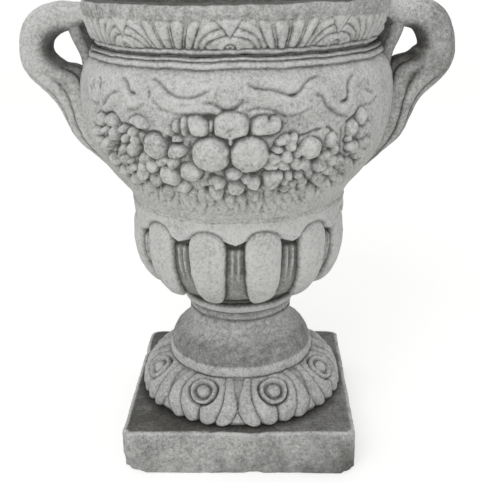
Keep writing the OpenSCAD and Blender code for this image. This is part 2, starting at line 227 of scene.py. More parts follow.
def castInStone(piece, node, amount=1.0, slot="cast_stone"):  # its stone, its uneven surface and its place
    if not piece.data.materials:
        piece.data.materials.append(weatheredShadedStone)
    weather(piece, amount)
    seat(piece, slot, node)


# Geometry Nodes: one carved sector turned into a whole ring

def ringTree():
    tree = bpy.data.node_groups.new("ringOfSectors", "GeometryNodeTree")
    for name, kind, way in (("Sector", "Geometry", "INPUT"), ("Count", "Int", "INPUT"),
                            ("Stone", "Material", "INPUT"), ("Ring", "Geometry", "OUTPUT")):
        tree.interface.new_socket(name, in_out=way, socket_type="NodeSocket" + kind)
    given = addNode(tree, "NodeGroupInput")
    points = addNode(tree, "GeometryNodePoints", {"Count": given.outputs["Count"]})
    step = addNode(tree, "ShaderNodeMath", {0: 2 * math.pi, 1: given.outputs["Count"]}, operation="DIVIDE")
    index = addNode(tree, "GeometryNodeInputIndex")
    turn = addNode(tree, "ShaderNodeMath", {0: index.outputs[0], 1: step.outputs[0]}, operation="MULTIPLY")
    euler = addNode(tree, "ShaderNodeCombineXYZ", {"Z": turn.outputs[0]})
    spin = addNode(tree, "FunctionNodeEulerToRotation", {0: euler.outputs[0]})
    placed = addNode(tree, "GeometryNodeInstanceOnPoints", {
        "Points": points.outputs[0], "Instance": given.outputs["Sector"], "Rotation": spin.outputs[0]})
    real = addNode(tree, "GeometryNodeRealizeInstances", {"Geometry": placed.outputs[0]})
    joined = addNode(tree, "GeometryNodeMergeByDistance", {"Geometry": real.outputs[0], "Distance": 2e-5})
    stone = addNode(tree, "GeometryNodeSetMaterial", {
        "Geometry": joined.outputs[0], "Material": given.outputs["Stone"]})
    addNode(tree, "NodeGroupOutput", {"Ring": stone.outputs[0]})
    return tree


ringOfSectors = ringTree()


def repeatRound(piece, count, stone):
    ring = piece.modifiers.new("ringOfSectors", "NODES")
    ring.node_group = ringOfSectors
    given = {"Count": count, "Stone": stone}
    for socket in ringOfSectors.interface.items_tree:
        if socket.item_type == "SOCKET" and socket.name in given:
            ring[socket.identifier] = given[socket.name]
    bpy.context.view_layer.update()
    ready = bpy.context.evaluated_depsgraph_get()
    whole = bpy.data.meshes.new_from_object(
        piece.evaluated_get(ready), preserve_all_data_layers=True, depsgraph=ready)
    piece.modifiers.remove(ring)
    piece.data = whole
    whole.polygons.foreach_set("use_smooth", [True] * len(whole.polygons))


# Materials

castStone = {  # cement, fine limestone grit and water rammed into a mould, then weathered
    # ramp from clean stone to its darkest, the dark end giving both dirt and painted shade
    "ramp": (
        (0.0, "#DADAD8"), (0.18, "#D0D0CE"), (0.37, "#B9B9B7"), (0.56, "#959593"), (0.78, "#646360"),
        (1.0, "#3E3D3A")),
    "roughness": 0.9, "cloudSize": 26, "mottleSize": 4.2, "gritSize": 1.6, "pitSize": 3.4,
    "patches": (1.1, -0.53), "grains": (0.9, -0.44), "contrast": (0.8, 0.172),   # factors and offsets
}


def makeStone(name, dulled=0.0):
    look = bpy.data.materials.new(name)
    look.use_nodes = True
    tree = look.node_tree
    tree.nodes.clear()
    place = addNode(tree, "ShaderNodeTexCoord").outputs["Object"]
    sootAndShade = addNode(tree, "ShaderNodeAttribute", attribute_name="grimeAndShade").outputs["Fac"]

    def cloud(size, detail=3.0, rough=0.6):
        noise = addNode(tree, "ShaderNodeTexNoise", {
            "Vector": place, "Scale": 1 / (castStone[size] * mm), "Detail": detail, "Roughness": rough})
        return noise.outputs["Fac"]

    def scaled(value, factor, offset):
        made = addNode(tree, "ShaderNodeMath", {0: value, 1: factor, 2: offset}, operation="MULTIPLY_ADD")
        return made.outputs[0]

    def sum2(a, b, factor, offset):
        parts = {0: a, 1: scaled(b, factor, offset)}
        return addNode(tree, "ShaderNodeMath", parts, operation="ADD").outputs[0]

    # the attribute read here brings in dirt and painted shade: creases, undersides and shaded sides are
    # darker
    dirtAndShade = sum2(sootAndShade, cloud("cloudSize"), 0.5, -0.25 + dulled)   # rain and moss leave slow clouds
    patches = scaled(cloud("mottleSize"), *castStone["patches"])   # where the cement skin is lost
    grains = sum2(patches, cloud("gritSize", 2.0, 0.7), *castStone["grains"])
    calm = addNode(tree, "ShaderNodeMapRange", {   # grain is weaker where dirt and painted shade are dark
        "Value": sootAndShade, "From Min": 0.2, "From Max": 0.55, "To Min": 1.0, "To Max": 0.45})
    dirtAndShade = sum2(dirtAndShade, grains, calm.outputs[0], 0.0)
    tone = addNode(tree, "ShaderNodeValToRGB", {"Fac": scaled(dirtAndShade, *castStone["contrast"])})
    steps = castStone["ramp"]
    while len(tone.color_ramp.elements) < len(steps):
        tone.color_ramp.elements.new(0.5)
    for stop, (at, code) in zip(tone.color_ramp.elements, steps):
        stop.position = at
        stop.color = hexColour(code)
    cells = addNode(tree, "ShaderNodeTexVoronoi", {
        "Vector": place, "Scale": 1 / (castStone["pitSize"] * mm), "Randomness": 1.0})
    pit = addNode(tree, "ShaderNodeMapRange", {
        "Value": cells.outputs["Distance"], "From Min": 0.1, "From Max": 0.26, "To Min": 0.62, "To Max": 1.0})
    pitted = addNode(tree, "ShaderNodeVectorMath", {
        0: tone.outputs["Color"], 3: pit.outputs[0]}, operation="SCALE")
    height = sum2(cloud("gritSize", 2.0, 0.7), cloud("mottleSize"), 0.7, 0.0)
    height = sum2(height, pit.outputs[0], 0.8, 0.0)
    bump = addNode(tree, "ShaderNodeBump", {"Height": height, "Strength": 0.35, "Distance": 0.5 * mm})
    stone = addNode(tree, "ShaderNodeBsdfPrincipled", {
        "Base Color": pitted.outputs[0], "Roughness": castStone["roughness"],
        "Specular IOR Level": 0.25, "Normal": bump.outputs[0]})
    addNode(tree, "ShaderNodeOutputMaterial", {"Surface": stone.outputs[0]})
    return look


weatheredShadedStone = makeStone("weatheredShadedCastStone")   # pale proud faces and hollows darkened by dirt and painted shade, matt and gritty
beddingMortar = makeStone("limeMortar", 0.3)       # the same sand in a duller, softer joint


zincSkin = {  # hot-dipped galvanised steel: a dull grey with large soft crystals
    "pale": "#A9ADB0", "dark": "#8C9195", "crystal": 9, "ripple": 0.2, "roughness": 0.48,
}


def makeZinc():
    look = bpy.data.materials.new("galvanisedSteel")
    look.use_nodes = True
    tree = look.node_tree
    metal = tree.nodes["Principled BSDF"]
    place = addNode(tree, "ShaderNodeTexCoord").outputs["Object"]
    spangle = addNode(tree, "ShaderNodeTexVoronoi", {
        "Vector": place, "Scale": 1 / (zincSkin["crystal"] * mm)})
    tone = addNode(tree, "ShaderNodeMix", {
        "Factor": spangle.outputs["Distance"], 6: hexColour(zincSkin["pale"]),
        7: hexColour(zincSkin["dark"])}, data_type="RGBA")
    tree.links.new(tone.outputs[2], metal.inputs["Base Color"])
    bump = addNode(tree, "ShaderNodeBump", {
        "Height": spangle.outputs["Distance"], "Strength": 0.1, "Distance": zincSkin["ripple"] * mm})
    tree.links.new(bump.outputs[0], metal.inputs["Normal"])
    metal.inputs["Metallic"].default_value = 1.0
    metal.inputs["Roughness"].default_value = zincSkin["roughness"]
    return look


galvanised = makeZinc()
print("materials ready")


# Plinth: a square slab with worn edges, its bore and the pocket under it

plinthSet = {
    "cols": 608, "sideRows": 28, "bevelRows": 6, "topRows": 46, "wornRows": 40, "edgeWear": 1.6, "corner": 10,
    "draft": 1.5, "arris": 0.8, "bevel": 3.0, "boreR": 14.95, "pocketR": 27, "pocketH": 20,
}
plinthChips = (  # x, y, z, radius, depth of each knock in mm
    (-152, -154, 5, 22, 9), (-133, -155, 3, 10, 4), (-141, -153, 14, 6, 3.5), (152, -154, 4, 20, 7),
    (149, -152, 58, 9, 3), (-150, -150, 58, 7, 2.5), (-60, -153, 60, 8, 1.6), (95, -153, 60, 10, 1.8),
    (153, 40, 60, 9, 2.2), (-153, 80, 60, 12, 2.4), (30, 153, 60, 9, 1.8), (-152, 152, 6, 16, 6),
    (20, -154, 1, 14, 2.5))


def squareRing(half, corner, share):  # points round a square with round corners, from the front towards +X
    flat = 2 * (half - corner)
    bend = corner * math.pi / 2
    side = flat + bend
    run = (share * 4 * side + flat / 2) % (4 * side)
    k = np.floor(run / side)
    at = run - k * side
    turn = np.clip((at - flat) / bend, 0, 1) * math.pi / 2
    x = np.where(at < flat, at - flat / 2, flat / 2 + corner * np.sin(turn))
    y = np.where(at < flat, -half, -half + corner - corner * np.cos(turn))
    a = k * math.pi / 2
    return np.stack([x * np.cos(a) - y * np.sin(a), x * np.sin(a) + y * np.cos(a)], -1)


def knock(points, chips):
    for x, y, z, r, depth in chips:
        centre = np.array([x, y, z], float)
        away = np.linalg.norm(points - centre, axis=-1)
        pull = depth * (1 - smooth(0.35 * r, r, away))
        ward = np.array([0, 0, z * 0.5 + 15]) - centre
        points += pull[..., None] * ward / np.linalg.norm(ward)


def makePlinth():
    high = nodeBox("plinth")[1]
    draft, arris, bevel = plinthSet["draft"], plinthSet["arris"], plinthSet["bevel"]
    bore, pocket, pocketH = plinthSet["boreR"], plinthSet["pocketR"], plinthSet["pocketH"]
    top, half = high[2], high[0] - draft
    share = np.arange(plinthSet["cols"]) / plinthSet["cols"]

    def level(flat, z):
        return np.concatenate([flat, np.full((len(share), 1), z)], 1)

    climb = np.linspace(0, 1, plinthSet["sideRows"])[1:]
    bend = np.linspace(0, math.pi / 2, plinthSet["bevelRows"])[1:]
    rows = [(half + draft - 0.6, 0.0), (half + draft, arris)]
    rows += [(half + draft * (1 - t), arris + (top - bevel - arris) * t) for t in climb]
    rows += [(half - bevel * (1 - math.cos(a)), top - bevel + bevel * math.sin(a)) for a in bend]
    grid = [level(squareRing(w, plinthSet["corner"], share), z) for w, z in rows]
    rim = grid[-1][:, :2]
    toCentre = rim / np.linalg.norm(rim, axis=1, keepdims=True)
    inwards = np.linspace(0, 1, plinthSet["topRows"])[1:]
    grid += [level(rim * (1 - t) + toCentre * bore * t, top) for t in inwards]
    grid += [level(toCentre * r, z) for r, z in ((bore, pocketH), (pocket, pocketH), (pocket, 0))]
    points = np.array(grid)
    sides = len(rows)
    skin = points[:sides + plinthSet["wornRows"]]
    knock(skin, plinthChips)
    wear = hump(skin[..., 2] - top, 4) * (np.abs(skin[..., :2]).max(-1) > half - 6)
    skin[..., 2] -= plinthSet["edgeWear"] * wear * np.clip(0.3 + 0.8 * waves(skin, 34, 5), 0, 1.2)
    points[..., 2] = np.maximum(points[..., 2], 0)
    grimeAndShade = np.zeros(points.shape[:2])
    height = np.clip(points[..., 2] / top, 0, 1)
    # painted shade: the slab's sides are darker towards the floor and towards +X, away from the light
    grimeAndShade[:] = 0.22 + 0.1 * (1 - height) + (0.08 + 0.2 * (1 - height)) * smooth(-20, 150, points[..., 0])
    grimeAndShade[:] += 0.08 * waves(points * (1, 1, 0.35), 26, 9)
    # the top is darker all over, and a little lighter towards +X
    grimeAndShade[sides:] = 0.78 - 0.16 * smooth(-60, 120, points[sides:, :, 0])
    edge = hump(np.abs(points[..., :2]).max(-1) - half, 4) * smooth(top - 5, top, points[..., 2])
    grimeAndShade -= 0.26 * edge
    # painted shadow: the top is darker in a ring round the foot's toe
    reach = np.hypot(points[..., 0], points[..., 1])
    grimeAndShade[sides:] += 0.25 * (1 - smooth(138, 156, reach[sides:]))
    piece = gridMesh("plinthSlab", points, wrap=True, fields={"grimeAndShade": grimeAndShade})
    piece.data.materials.append(weatheredShadedStone)
    weather(piece, 0.7)
    co = np.empty(len(piece.data.vertices) * 3, np.float32)
    piece.data.vertices.foreach_get("co", co)
    limit = (half + draft) * mm
    for axis, least, most in ((0, -limit, limit), (1, -limit, limit), (2, 0, top * mm)):
        co[axis::3] = np.clip(co[axis::3], least, most)
    piece.data.vertices.foreach_set("co", co)
    seat(piece, "cast_stone", "plinth")


makePlinth()
print("plinth ready")


# Leaf foot: eight leaves, each with two curled tongues a side and an eye on its shoulder

footSet = {
    "leaves": 8, "cols": 116, "step": 0.95, "toe": 6, "tongue": 5.2, "eyeAt": 44, "buttonR": 8.8,
    "ringR": 15.6, "ringHalf": 2.9, "outerGroove": 19.4, "toeR": 138.6, "topR": 96, "swell": 42.6,
}


def footLift(angle, s):
    side = np.abs(angle)
    first = np.interp(s, (0, 10, 20, 35, 50, 66), (9.2, 10.5, 12.5, 14.3, 14.5, 13))
    last = np.interp(s, (0, 20, 34, 45, 66), (17.6, 22.3, 21.6, 20.6, 18.4))
    tip = np.interp(s, (0, 20), (4.9, 0.1))
    a = (side - first / 2) / (first / 2)
    b = (side - (first + last) / 2) / ((last - first) / 2)
    c = (22.5 - side) / np.maximum(tip, 0.05)
    depth = footSet["tongue"]
    fade = 1 - 0.35 * smooth(30, 70, s)
    lift = np.maximum(dome(a), dome(b)) * depth * fade
    lift = np.maximum(lift, np.where(s < 22, dome(c) * depth * 0.8, 0))
    ridge = 0.7 * hump(side - last * 0.86, 1.2) * smooth(22, 30, s)
    lift += ridge - 1.2
    notch = 2.6 * np.clip(1 - side / 2.6, 0, 1) * np.clip(1 - np.abs(s - 25) / 6, 0, 1)
    lift -= (1.6 * hump(side, 0.75) + notch) * (1 - smooth(25, 32, s)) * 1.6
    scale = np.interp(s, (0, 6, 72), (141, 141, 99)) * math.pi / 180
    away = np.hypot(angle * scale, s - footSet["eyeAt"])
    ring = footSet["ringR"]
    inEye = away < footSet["outerGroove"] + 2.5
    bead = 5.8 * dome((away - ring) / footSet["ringHalf"])
    button = 6.2 * dome(away / footSet["buttonR"])
    eye = np.maximum(bead, button) - 1.8
    blend = smooth(footSet["outerGroove"] - 1.5, footSet["outerGroove"] + 3, away)
    lift = np.where(inEye, eye * (1 - blend) + (lift - 3.4 * (1 - blend)) * blend, lift)
    lift -= 3.0 * hump(away - footSet["outerGroove"], 1.9)
    scallop = s - 5.5 * np.clip(np.minimum(np.abs(a), np.abs(b)), 0, 1) ** 2
    lift = lift * smooth(-8, 3, scallop) - 2.6 * (1 - smooth(-4, 2.5, scallop))
    return lift * (1 - smooth(66, 71, s))


def makeFoot():
    low, high = nodeBox("leaf_foot")
    toeZ = low[2] + footSet["toe"]
    arc = np.radians(np.linspace(0, 90, 60))
    rise = high[2] - toeZ
    toe, top, swell = footSet["toeR"], footSet["topR"], footSet["swell"]
    outline = [(toe, low[2]), (toe, toeZ)]
    outline += [(top + swell * math.cos(a), toeZ + rise * math.sin(a)) for a in arc[1:]]
    profile, s = evenSteps(outline, footSet["step"])
    sector = 360 / footSet["leaves"]
    angles = np.linspace(-sector / 2, sector / 2, footSet["cols"])
    lift = footLift(angles[None, :], s[:, None])
    bore = plinthSet["boreR"]
    closing = [(60, high[2]), (bore, high[2]), (bore, low[2]), (70, low[2]), (120, low[2])]
    points = turnBy(turned(profile, angles, lift, closing), sector / 2)
    rows = len(profile)
    grimeAndShade = np.full(points.shape[:2], 0.45)
    depth = hollows(points[:rows], sector, footSet["step"])
    top = smooth(62, 70, s)[:, None]
    # painted shade: darker in the creases, at the top under the disc and along the toe's underside
    grimeAndShade[:rows] = 0.28 + 0.41 * np.clip(depth, -0.3, 1.3) + 0.25 * top + 0.3 * (1 - smooth(0, 3, s))[:, None]
    piece = gridMesh("leafFoot", points, fields={"grimeAndShade": grimeAndShade})
    repeatRound(piece, footSet["leaves"], weatheredShadedStone)
    castInStone(piece, "leaf_foot")


makeFoot()
print("leaf foot ready")


# Stem: a disc with an upright edge that flares up to the neck

stemSet = {"cols": 300, "step": 1.9, "discR": 101, "edgeH": 13, "neckR": 70}


def makeStem():
    low, high = nodeBox("stem")
    r, edge, neck = stemSet["discR"], low[2] + stemSet["edgeH"], stemSet["neckR"]
    outline = [(r - 1.5, low[2]), (r, low[2] + 1.5), (r, edge - 3), (r - 1, edge - 0.5)]
    roll = [(r - 2, edge), (r - 3, edge + 13), (r - 8, edge + 22), (r - 13, edge + 26)]
    flare = [(r - 14.5, edge + 26.5), (r - 20, edge + 32), (neck, edge + 34), (neck, edge + 44)]
    outline += bezier(roll, 14).tolist() + bezier(flare, 14).tolist() + [(neck, high[2])]
    profile, s = evenSteps(outline, stemSet["step"])
    angles = np.arange(stemSet["cols"]) * 360 / stemSet["cols"]
    bore = plinthSet["boreR"]
    points = turned(profile, angles, np.zeros((len(s), 1)), [(bore, high[2]), (bore, low[2])])
    grimeAndShade = np.full(points.shape[:2], 0.4)
    rows = len(profile)
    z = points[:rows, :, 2]
    speckle = 0.5 + 0.5 * waves(points[:rows], 9, 3)
    # the disc's upper face and the flare (slope) are darker, and so is the disc edge's foot
    slope = smooth(edge - 0.5, edge + 2.5, z) * (1 - smooth(edge + 22, edge + 34, z) * 0.75)
    grimeAndShade[:rows] = 0.08 + 0.36 * slope + 0.1 * speckle + 0.3 * (1 - smooth(low[2], low[2] + 2.5, z))
    # painted shadow under the bowl's ring at the neck's top
    grimeAndShade[:rows] += 0.25 * smooth(high[2] - 5, high[2], z)
    piece = gridMesh("flaredStem", points, wrap=True, fields={"grimeAndShade": grimeAndShade})
    castInStone(piece, "stem")


makeStem()
print("stem ready")


# Gadrooned bowl: twelve round-topped lobes with a ribbed channel between each pair

bowlSet = {
    "lobes": 12, "cols": 55, "step": 1.4, "ringR": 72, "ringH": 20, "bowlR": 142.5, "beltH": 51,
    "wall": 22, "depth": 9.0, "halfWidth": 10.1, "archFrom": 160, "archRise": 24, "rib": 3.6,
    "ribAt": 1.7, "lobeFoot": 58,
}


def bowlLift(angle, s):  # s is measured so that the widest line lies at 147
    side = 15 - np.abs(angle)                      # degrees from the middle of the channel
    foot = bowlSet["lobeFoot"]
    width = np.interp(s, (24, 60, 85, 110, 150), (8.6, 7.8, 8.4, 9.4, bowlSet["halfWidth"]))
    rise = np.clip((s - bowlSet["archFrom"]) / bowlSet["archRise"], 0, None)
    rise = rise + np.clip((foot + 36 - s) / 36, 0, None)
    reach = (np.abs(angle / width) ** 2.3 + rise ** 2.3) ** (1 / 2.3)
    scale = np.interp(s, (0, 24, 60, 110, 147), (72, 74, 106, 136, 142)) * math.pi / 180
    past = np.maximum(reach - 1, 0) * width * scale
    depth = bowlSet["depth"]
    lobe = 1.2 - depth * (1 - dome(reach) ** 0.75)
    field = -4.2 * hump(past, 2.6)
    ribs = bowlSet["rib"] * hump((side - bowlSet["ribAt"]) * scale, 1.5) * smooth(96, 140, s)
    cap = -2.4 * hump(s - 162, 3.6)
    channel = -depth + ribs * (1 - smooth(156, 161, s)) + cap
    level = smooth(0, 3.0, s - (165.5 + 0.9 * np.minimum(side, 5)))
    outside = channel * (1 - level) + field * level
    lift = outside + (lobe - outside) * smooth(0, 1.8, (1 - reach) * width * scale)
    return lift * smooth(27, 38, s)


def makeBowl():
    low, high = nodeBox("gadrooned_bowl")
    r, ring = bowlSet["bowlR"], bowlSet["ringR"]
    foot, belly = low[2] + bowlSet["ringH"] + 6, high[2] - bowlSet["beltH"]
    z = low[2]
    roll = bezier([(ring - 1.5, z + 11), (ring + 8, z + 13), (ring + 8, z + 23), (ring + 0.5, foot - 1)], 12)
    outline = [(ring - 3, z), (ring - 1.5, z + 2)] + roll.tolist()
    outline += [(ring + 1 + (r - ring - 1) * math.sin(a), foot + (belly - foot) * (1 - math.cos(a)))
                for a in np.linspace(0, math.pi / 2, 50)]
    outline += [(r - 0.5, belly + 17), (r - 1.5, high[2])]
    profile, s = evenSteps(outline, bowlSet["step"])
    s = s - np.interp(belly, profile[:, 1], s) + 147
    sector = 360 / bowlSet["lobes"]
    angles = np.linspace(-sector / 2, sector / 2, bowlSet["cols"])
    lift = bowlLift(angles[None, :], s[:, None])
    inner, floor = r - bowlSet["wall"], low[2] + 48
    bore = plinthSet["boreR"]
    closing = [(inner, high[2]), (inner, floor + 74), (inner, floor + 34), (inner * 0.9, floor + 8),
               (inner * 0.62, floor + 2), (bore, floor), (bore, low[2])]
    points = turnBy(turned(profile, angles, lift, closing), sector / 2)
    rows = len(profile)
    depth = hollows(points[:rows], sector, bowlSet["step"])
    grimeAndShade = np.full(points.shape[:2], 0.6)
    under = (1 - smooth(60, 118, s)) * smooth(26, 30, s)
    neck = 1 - smooth(3, 9, s)
    shadow = smooth(17, 21, s) * (1 - smooth(46, 60, s))   # painted shadow in the hollow behind the lobes' feet
    # painted shade: darker on the underside, at the neck, behind the lobes' feet, in the creases and in the
    # sunken channels
    bands = 0.1 * under + 0.26 * neck + 0.6 * shadow
    belt = 0.08 * smooth(176, 190, s)
    grimeAndShade[:rows] = 0.1 + 0.42 * np.clip(depth, -0.35, 1.4) + bands[:, None]
    grimeAndShade[:rows] += 0.3 * smooth(4, 8, -lift) * smooth(24, 60, s)[:, None] - belt[:, None]
    piece = gridMesh("gadroonedBowl", points, fields={"grimeAndShade": grimeAndShade})
    repeatRound(piece, bowlSet["lobes"], weatheredShadedStone)
    castInStone(piece, "gadrooned_bowl")


makeBowl()
print("gadrooned bowl ready")


# Rim band: nine palmettes with four leaning tongues between each pair, under a plain lip

rimSet = {
    "palmettes": 9, "cols": 105, "step": 1.0, "bandLow": 14, "bandHigh": 48.5, "relief": 3.2,
    "arcs": ((8.6, 17), (10.9, 27), (13.2, 38)), "arcFoot": 14, "seedR": 2.3, "seedAt": 16,
    "outline": (  # radius and height up the outside; the mouth's points go on over the lip
        (172, 0), (176.5, 1), (178, 3), (177.5, 5.2), (175, 6.6), (175.5, 7.6), (179.5, 8.6), (181, 11),
        (185.6, 19), (188.6, 29), (190.6, 42), (191.4, 45), (191.4, 50.5), (190.6, 51.9), (188.8, 52.6)),
    "mouth": ((186, 53.4), (183, 54.1), (180, 54.6), (177, 54.8), (174.5, 54.8), (173, 53.5)),
}


def rimLift(angle, s):
    degree = 185 * math.pi / 180
    side = np.abs(angle) + 0 * s
    t = np.clip((s - 20) / 28, -0.25, 1.1)
    edge, split = 12.2 - 3.7 * t, 16 - 2.2 * t
    middle = 180 / rimSet["palmettes"]
    lift = np.full(np.broadcast(side, s).shape, -rimSet["relief"])
    for a, b in ((edge, split), (split, middle)):
        u = (side - (a + b) / 2) / ((b - a) / 2 - 0.7)
        crown = smooth(0, 3, rimSet["bandHigh"] - 3.5 * np.clip(u, -1, 1) ** 2 - s)
        lift = np.maximum(lift, -rimSet["relief"] + (rimSet["relief"] + 1.1) * dome(u) ** 0.8 * crown)
    for line in (split, middle, edge):
        dart = 2.3 * hump((side - line) * degree, 0.75) * smooth(46, 40, s)
        lift = np.maximum(lift, -rimSet["relief"] + dart)
    inside = side < edge
    palm = np.full(lift.shape, 0.9)
    for ax, rise in rimSet["arcs"]:
        e = np.hypot(side / ax, (s - rimSet["arcFoot"]) / rise)
        palm -= 3.2 * hump((e - 1) * ax * degree, 2.4)
    away = np.hypot(side * degree, s - rimSet["seedAt"])
    palm += 1.6 * hump(away - 9, 2.2) - 2.6 * hump(away - 5.6, 1.3)
    seed = rimSet["seedR"]
    palm += 1.4 * hump(away, 3.4) - 5 * (1 - smooth(seed - 0.8, seed + 0.5, away))
    notch = (side - (s - 28) * 0.2) * degree
    palm = np.where((s > 27) & (notch < 0), 0.6, palm)
    palm -= 3.2 * hump(notch, 1.3) * smooth(26, 31, s)
    lift = np.where(inside, palm, lift)
    above = smooth(rimSet["bandHigh"] - 0.5, rimSet["bandHigh"] + 1.5, s)
    ground = lift * (1 - 0.6 * smooth(38, 47, s))   # it runs out upwards
    lift = np.where(lift < 0, ground, lift) * (1 - above)
    return lift * smooth(rimSet["bandLow"] - 1.5, rimSet["bandLow"] + 1, s)


def makeRim():
    z = nodeBox("rim_band")[0][2]
    outline = [(r, z + up) for r, up in rimSet["outline"]]
    profile, s = evenSteps(outline, rimSet["step"])
    sector = 360 / rimSet["palmettes"]
    angles = np.linspace(-sector / 2, sector / 2, rimSet["cols"])
    lift = rimLift(angles[None, :], s[:, None])
    closing = [(r, z + up) for r, up in rimSet["mouth"]]
    closing += [(170 - 20 * t, z + 49 - 45 * t) for t in (0, 0.25, 0.5, 0.75)] + [(150, z + 4), (150, z)]
    points = turned(profile, angles, lift, closing)
    rows = len(profile)
    depth = hollows(points[:rows], sector, rimSet["step"])
    # painted shade: the inside of the mouth and the lip's inner top are dark
    grimeAndShade = np.full(points.shape[:2], 0.75)
    grimeAndShade[rows:rows + len(rimSet["mouth"])] = 0.8
    # painted shade in the groove at the band's foot, low on the palmettes and in the creases; the lip is a
    # little darker
    lip = smooth(rimSet["bandHigh"] - 1, rimSet["bandHigh"] + 2, s)
    bands = 0.24 * lip + 0.4 * (1 - smooth(5.5, 8, s))
    grimeAndShade[:rows] = 0.14 + 0.4 * np.clip(depth, -0.35, 1.3) + bands[:, None]
    grimeAndShade[:rows] += 0.1 * (1 - smooth(14, 30, s))[:, None] + 0.07 * waves(points[:rows], 14, 31)
    piece = gridMesh("rimBand", points, fields={"grimeAndShade": grimeAndShade})
    repeatRound(piece, rimSet["palmettes"], weatheredShadedStone)
    castInStone(piece, "rim_band")


makeRim()
print("rim ready")


# Garland body: fruit, flowers, leaves and a knotted ribbon stamped in relief on the swelling side.
# Places are degrees from the front towards +X and mm up the side; heights and sizes are in mm.
# A turn of 0 points up, and 90 points towards +X.

bodySet = {
    "cols": 460, "step": 1.2, "reliefTop": 203.5, "wall": 22, "waistR": 141, "bodyR": 200, "moat": 2.2,
    "shoulder": (  # how far in from the widest radius, and how high
        (17.6, 183.4), (17.2, 184.6), (14.4, 185.6), (14, 188), (14.8, 190), (19.2, 191.4), (19.4, 192.6),
        (17, 193.4), (17, 194.8), (20, 195.7)),
}

